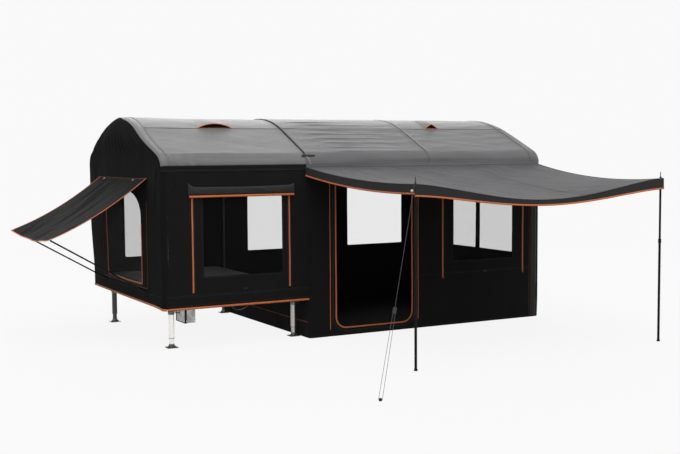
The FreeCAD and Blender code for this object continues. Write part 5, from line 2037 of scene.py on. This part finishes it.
@dataclass
class EndAwning:
    """Window awning on the pod's end wall, held out by two struts."""

    shop: Workshop
    root_x: float = -1.6903
    half: float = 0.808
    wall_height: float = 1.735
    reach: float = 1.010
    drop: float = 0.587
    sag: float = 0.052
    edge_sag: float = 0.055
    edge_wave: float = 0.004
    rear_pull: float = 0.035
    root_lift: float = 0.008
    billow: Billow = Billow()

    def __post_init__(self) -> None:
        """Lays out the sheet and its lengthwise folds."""
        width = 2 * self.half
        folds = [Crease((share * width, start), (share * width + lean, stop), 0.05, height)
                 for share, lean, start, stop, height in ((0.22, 0.06, 0.02, 0.62, -0.012),
                                                          (0.34, 0.10, 0.05, 0.50, 0.010),
                                                          (0.46, 0.05, 0.02, 0.80, -0.012),
                                                          (0.60, 0.10, 0.10, 0.96, 0.008),
                                                          (0.10, 0.22, 0.70, 1.00, -0.010),
                                                          (0.76, 0.02, 0.30, 0.98, 0.006))]
        slack = Window(Slack(0.009, (0.7, 1.0), 51), (0.0, 0.0), (width, self.reach), (0.08, 0.10))
        self.sheet = Surface(self.place, [slack, *folds], flip=True)

    def place(self, along: Array, out: Array) -> Array:
        """Sheet over its running sizes from the rear side to the front side, and outwards."""
        u, v = along / (2 * self.half), out / self.reach
        belly = self.sag * 4 * v * (1 - v)
        slack = self.edge_sag * 4 * u * (1 - u) * v**2
        wave = self.edge_wave * np.sin(5.5 * math.pi * u + 0.6) * smooth(6 * np.minimum(u, 1 - u)) * v**6
        z = self.wall_height - self.drop * v - belly - slack + wave
        y = self.half - along
        z = z + self.root_lift * smooth((u - 0.7) / 0.3) * (1 - v) ** 2
        x = self.root_x - out - self.billow.depth(y, self.wall_height) * (1 - v)
        x = x - self.rear_pull * smooth((0.3 - u) / 0.3) * v**3
        return together(x, y, z)

    def build(self) -> None:
        """Makes the sheet, its piping, stitches and eyelets, and finishes the struts."""
        sheet, width, reach = self.sheet, 2 * self.half, self.reach
        cloth = self.shop.net("pod_end_awning_cloth", sheet, np.linspace(0, width, 120),
                              np.linspace(0, reach, 76), Look.FLAP)
        self.shop.hang(cloth, ROOF_SLOT, ["pod_end_awning"], (width, reach * 1.18), "stretched",
                       ["pod_end_wall_cloth", "awning_strut_front", "awning_strut_rear"])
        edge = sheet.line(three_sides(width, reach, 0.004, 0.01), -0.001)
        self.shop.tape("end_awning_piping", [edge], 0.012, 0.008, Look.PIPING, ROOF_SLOT, 10)
        # The root line under the flap uses the darker orange that paints in its shade.
        root = sheet.levels([0.012], 0.0, width, TAPE_LIFT)
        self.shop.tape("end_awning_root_piping", root, 0.005, 0.004, Look.PIPING_PAINTED_SHADE, ROOF_SLOT, 10)
        rows = [sheet.line(three_sides(width, reach, 0.025, 0.03), 0.0005),
                *sheet.levels([0.03], 0.0, width, 0.0005)]
        self.shop.stitches("end_awning_stitches", rows, ROOF_SLOT)
        spots = [sheet.spot(along, out, 0.0015) for out, places in (
            (0.030, (0.215, 1.235)), (reach - 0.02, (0.014, width - 0.014))) for along in places]
        self.shop.eyelets("end_awning_eyelets", spots, 0.009, 0.004)
        self.shop.dress(Look.BLACK, "awning_strut_front", "awning_strut_rear")


# Vents, guy line and small fittings


@dataclass
class VentHood:
    """Hooded roof vent: a cloth hood that opens towards the door side, with mesh in its mouth."""

    shop: Workshop
    name: str
    slot_node: str
    centre: float
    width: float
    rise: float
    grow: float
    peak: float
    mouth_y: float = -0.580
    back_y: float = -0.180
    back_share: float = 0.45
    back_rise: float = 0.008
    cloth: float = 0.002

    def roof_height(self, y: Array) -> Array:
        """Height of the roof under the hood."""
        radius = self.shop.section.ridge_radius + self.grow
        return self.shop.section.ridge_centre + np.sqrt(radius**2 - y**2)

    def place(self, u: Array, v: Array) -> Array:
        """Hood over the share across it, -1 to 1, and the share from mouth to back."""
        half = self.width / 2 * (1 - v + self.back_share * v)
        y = self.mouth_y + (self.back_y - self.mouth_y) * v
        roof = self.roof_height(y)
        crest = self.rise * (1 - v) + self.back_rise * v
        arch = np.clip(1 - np.abs(u) ** self.peak, 0, 1)
        z = roof - 0.004 * np.abs(u) ** 6 + (crest - 0.002) * arch
        return together(self.centre + u * half, y, z)

    def build(self) -> None:
        """Makes the hood, its dark mesh mouth and the orange piping round it."""
        surface = Surface(self.place)
        hood = self.shop.net(f"{self.name}_cloth", surface, np.linspace(-1, 1, 49), np.linspace(0, 1, 17),
                             Look.ROOF, self.cloth, (self.width / 2, abs(self.mouth_y - self.back_y)))
        self.shop.hang(hood, ROOF_SLOT, [self.slot_node], (self.width * 0.73, 0.41), "stretched",
                       ["pod_roof_cloth" if self.grow == 0 else "room_roof_cloth"])
        u = np.linspace(-0.98, 0.98, 33)
        top = surface.place(u, np.full_like(u, 0.03))
        low = top.copy()
        low[:, 2] = self.roof_height(low[:, 1]) - 0.004
        front = np.concatenate([low, top])
        faces = np.array([(i, i + 1, i + 34, i + 33) for i in range(32)])
        mouth = shell(f"{self.name}_mesh", front, np.tile([0.0, -1.0, 0.0], (66, 1)), faces, front[:, [0, 2]],
                      0.0015, self.shop.looks[Look.VENT])
        mouth["flat_area"] = 0.7 * self.width * self.rise
        self.shop.hang(mouth, "window_screen", (), (self.width * 1.15, self.rise + 0.01), "stretched",
                       [hood.name])
        u = np.linspace(-1, 1, 41)
        line = surface.place(u, 0 * u) + np.array([0.0, 0.0, 0.001])
        sill = line[::4].copy()
        sill[:, 2] = self.roof_height(sill[:, 1]) + 0.001
        for word, path, width, thickness in (("piping", Path(line, surface.normal(u, 0 * u)), 0.015, 0.010),
                                             ("sill", Path.facing(sill, (0.0, -0.35, 0.94)), 0.010, 0.006)):
            self.shop.tape(f"{self.name}_{word}", [path], width, thickness, Look.PIPING, ROOF_SLOT)


@dataclass
class GuyLine:
    """Guy line from the left pole's spike through its runner to the peg."""

    shop: Workshop
    top: tuple[float, float, float] = (0.0, -3.243, 1.751)
    peg: tuple[float, float, float] = (-0.884, -4.098, 0.012)
    runner_share: float = 0.625
    ring_radius: float = 0.0068
    peg_ring_radius: float = 0.0158
    thickness: float = 0.0038

    def build(self) -> None:
        """Makes the ring, the single run, the double run and the loop round the peg."""
        start, end = np.array(self.top), np.array(self.peg)
        run = (end - start) / np.linalg.norm(end - start)
        across = np.cross(run, [0.0, 0.0, 1.0])
        across /= np.linalg.norm(across)
        middle = start + (end - start) * self.runner_share
        paths = [Path.ring(start, self.ring_radius, 20), Path.ring(end, self.peg_ring_radius, 20)]
        strands = [(start + run * self.ring_radius, middle + run * 0.03)]
        strands += [(middle - run * 0.025 + across * side * 0.010, end + across * side * self.peg_ring_radius)
                    for side in (-1, 1)]
        share = np.linspace(0, 1, 24)[:, None]
        paths += [Path.facing(first + (last - first) * share, across) for first, last in strands]
        self.shop.tape("guy_line_cord", paths, self.thickness, self.thickness, Look.CORD, "guy_cord",
                       replaced=["guy_line"])
        self.shop.dress(Look.PLASTIC, "guy_runner", "guy_peg")


@dataclass
class Fittings:
    """The webbing loop under the deck."""

    shop: Workshop
    loop_x: tuple[float, float] = (-0.944, -0.736)
    loop_y: float = -1.210
    loop_low: float = 0.370
    loop_share: float = 0.38

    def build(self) -> None:
        """Makes the webbing loop."""
        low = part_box("deck_frame")[0].z
        share = np.linspace(0, 1, 33)
        x = self.loop_x[0] + (self.loop_x[1] - self.loop_x[0]) * share
        lean = share ** (math.log(0.5) / math.log(self.loop_share))
        drop = (low - self.loop_low) * (4 * lean * (1 - lean)) ** 0.8
        points = np.stack([x, self.loop_y + 0 * x, low - 0.001 - drop], axis=1)
        run = np.gradient(points, axis=0)
        out = np.cross(run, [0.0, -1.0, 0.0])
        out /= np.linalg.norm(out, axis=1, keepdims=True)
        self.shop.tape("deck_webbing_loop", [Path(points, out)], 0.014, 0.004, Look.WEBBING, "guy_cord")


# Studio


@dataclass
class Studio:
    """Camera at the photograph's viewpoint, pale floor and soft light."""

    place: tuple[float, float, float] = (-5.2311, -11.4053, 2.0)
    yaw: float = 28.626
    pitch: float = 4.036
    roll: float = -0.382
    lens: float = 56.9
    backdrop: float = 0.947
    ambient: float = 0.55
    floor_radius: float = 30.0
    floor_glow: float = 0.889
    floor_tone: float = 0.055

    def build(self) -> None:
        """Makes camera, world, lamps and floor."""
        self.build_camera()
        self.build_world()
        self.build_lamps()
        self.build_floor()
        bpy.context.scene.view_settings.view_transform = "Standard"

    def build_camera(self) -> None:
        """Camera solved from the straight edges of deck, room and legs."""
        yaw, pitch, roll = (math.radians(turn) for turn in (self.yaw, self.pitch, self.roll))
        level = Vector((math.cos(yaw), -math.sin(yaw), 0.0))
        ahead = Vector((math.cos(pitch) * math.sin(yaw), math.cos(pitch) * math.cos(yaw), -math.sin(pitch)))
        down = Vector((-math.sin(pitch) * math.sin(yaw), -math.sin(pitch) * math.cos(yaw), -math.cos(pitch)))
        right = level * math.cos(roll) - down * math.sin(roll)
        under = level * math.sin(roll) + down * math.cos(roll)
        turn = Matrix((right, -under, -ahead)).transposed()
        data = bpy.data.cameras.new("photo_view")
        data.lens = self.lens
        data.sensor_width = 36.0
        data.clip_end = 200.0
        camera = bpy.data.objects.new("photo_view", data)
        camera.matrix_world = Matrix.Translation(self.place) @ turn.to_4x4()
        bpy.context.scene.collection.objects.link(camera)
        bpy.context.scene.camera = camera

    @staticmethod
    def seen(graph: NodeGraph) -> Socket:
        """1 for rays from the camera, from gloss and through clear surfaces, else 0."""
        ways = graph.add("ShaderNodeLightPath").outputs
        first = graph.math("MAXIMUM", ways["Is Camera Ray"], ways["Is Glossy Ray"])
        return graph.math("MAXIMUM", first, ways["Is Transmission Ray"])

    def build_world(self) -> None:
        """Pale backdrop to the eye, dimmer soft light on the object."""
        world = bpy.data.worlds.new("studio")
        world.use_nodes = True
        bpy.context.scene.world = world
        graph = NodeGraph(world.node_tree)
        back = graph.tree.nodes["Background"].inputs
        level = graph.get("ShaderNodeMapRange", {"Value": self.seen(graph), "To Min": self.ambient,
                                                 "To Max": self.backdrop})
        graph.tree.links.new(level, back["Strength"])
        back["Color"].default_value = (1.0, 1.0, 1.0, 1.0)

    def build_lamps(self) -> None:
        """Wide soft suns from above, from the door side and, low, from behind."""
        for name, aim, strength, angle in (("key", (0.20, 0.35, -1.0), 1.6, 60.0),
                                           ("fill", (0.0, 0.9, -0.4), 0.50, 80.0),
                                           ("back", (-0.35, -0.9, -0.40), 0.70, 40.0)):
            data = bpy.data.lights.new(name, "SUN")
            data.energy = strength
            data.angle = math.radians(angle)
            lamp = bpy.data.objects.new(name, data)
            lamp.matrix_world = Vector(aim).to_track_quat("-Z", "Y").to_matrix().to_4x4()
            bpy.context.scene.collection.objects.link(lamp)

    def build_floor(self) -> None:
        """Level floor that fades into the backdrop and keeps the tent's shadow."""
        mesh = bpy.data.meshes.new("floor")
        form = bmesh.new()
        bmesh.ops.create_circle(form, cap_ends=True, radius=self.floor_radius, segments=96)
        form.to_mesh(mesh)
        form.free()
        floor = new_object("floor", mesh)
        floor.location = (0.7, -0.5, -0.0006)
        mesh.materials.append(self.floor_material())

    def floor_material(self) -> Material:
        """Matt floor with a glow that only the eye sees, faded out with distance."""
        made = Shader("studio_floor_look")
        made.tree.nodes.remove(made.main)
        matt = made.get("ShaderNodeBsdfDiffuse",
                        {"Color": (self.floor_tone, self.floor_tone, self.floor_tone, 1)})
        glow = made.math("MULTIPLY", self.seen(made), self.floor_glow)
        shine = made.get("ShaderNodeEmission", {"Strength": glow})
        both = made.get("ShaderNodeAddShader", {0: matt, 1: shine})
        clear = made.get("ShaderNodeBsdfTransparent")
        reach = made.add("ShaderNodeVectorMath", {0: made.place["Object"]}, operation="LENGTH")
        fade = made.ramp(reach.outputs["Value"], (5.0, 11.0), (0.0, 1.0))
        mixed = made.get("ShaderNodeMixShader", {0: fade, 1: both, 2: clear})
        made.tree.links.new(mixed, made.tree.nodes["Material Output"].inputs["Surface"])
        return made.material


def main() -> None:
    """Builds the studio and the tent, piece by piece."""
    logging.basicConfig(level=logging.INFO, format="%(name)s %(message)s")
    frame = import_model()
    Studio().build()
    shop = Workshop(frame, TentSection())
    pieces = (
        BedPod(shop),
        Room(shop),
        HoopFrame(shop),
        Deck(shop),
        Legs(shop),
        ServiceBox(shop),
        RoomAwning(shop),
        EndAwning(shop),
        VentHood(shop, "pod_vent", "vent_hood_pod", centre=-0.850, width=0.414, rise=0.052, grow=0.0,
                 peak=2.0),
        VentHood(shop, "room_vent", "vent_hood_room", centre=1.930, width=0.188, rise=0.056, grow=0.0053,
                 peak=1.2),
        GuyLine(shop),
        Fittings(shop),
    )
    for piece in pieces:
        piece.build()
        LOG.info("%s done", type(piece).__name__)


if __name__ == "__main__":
    main()
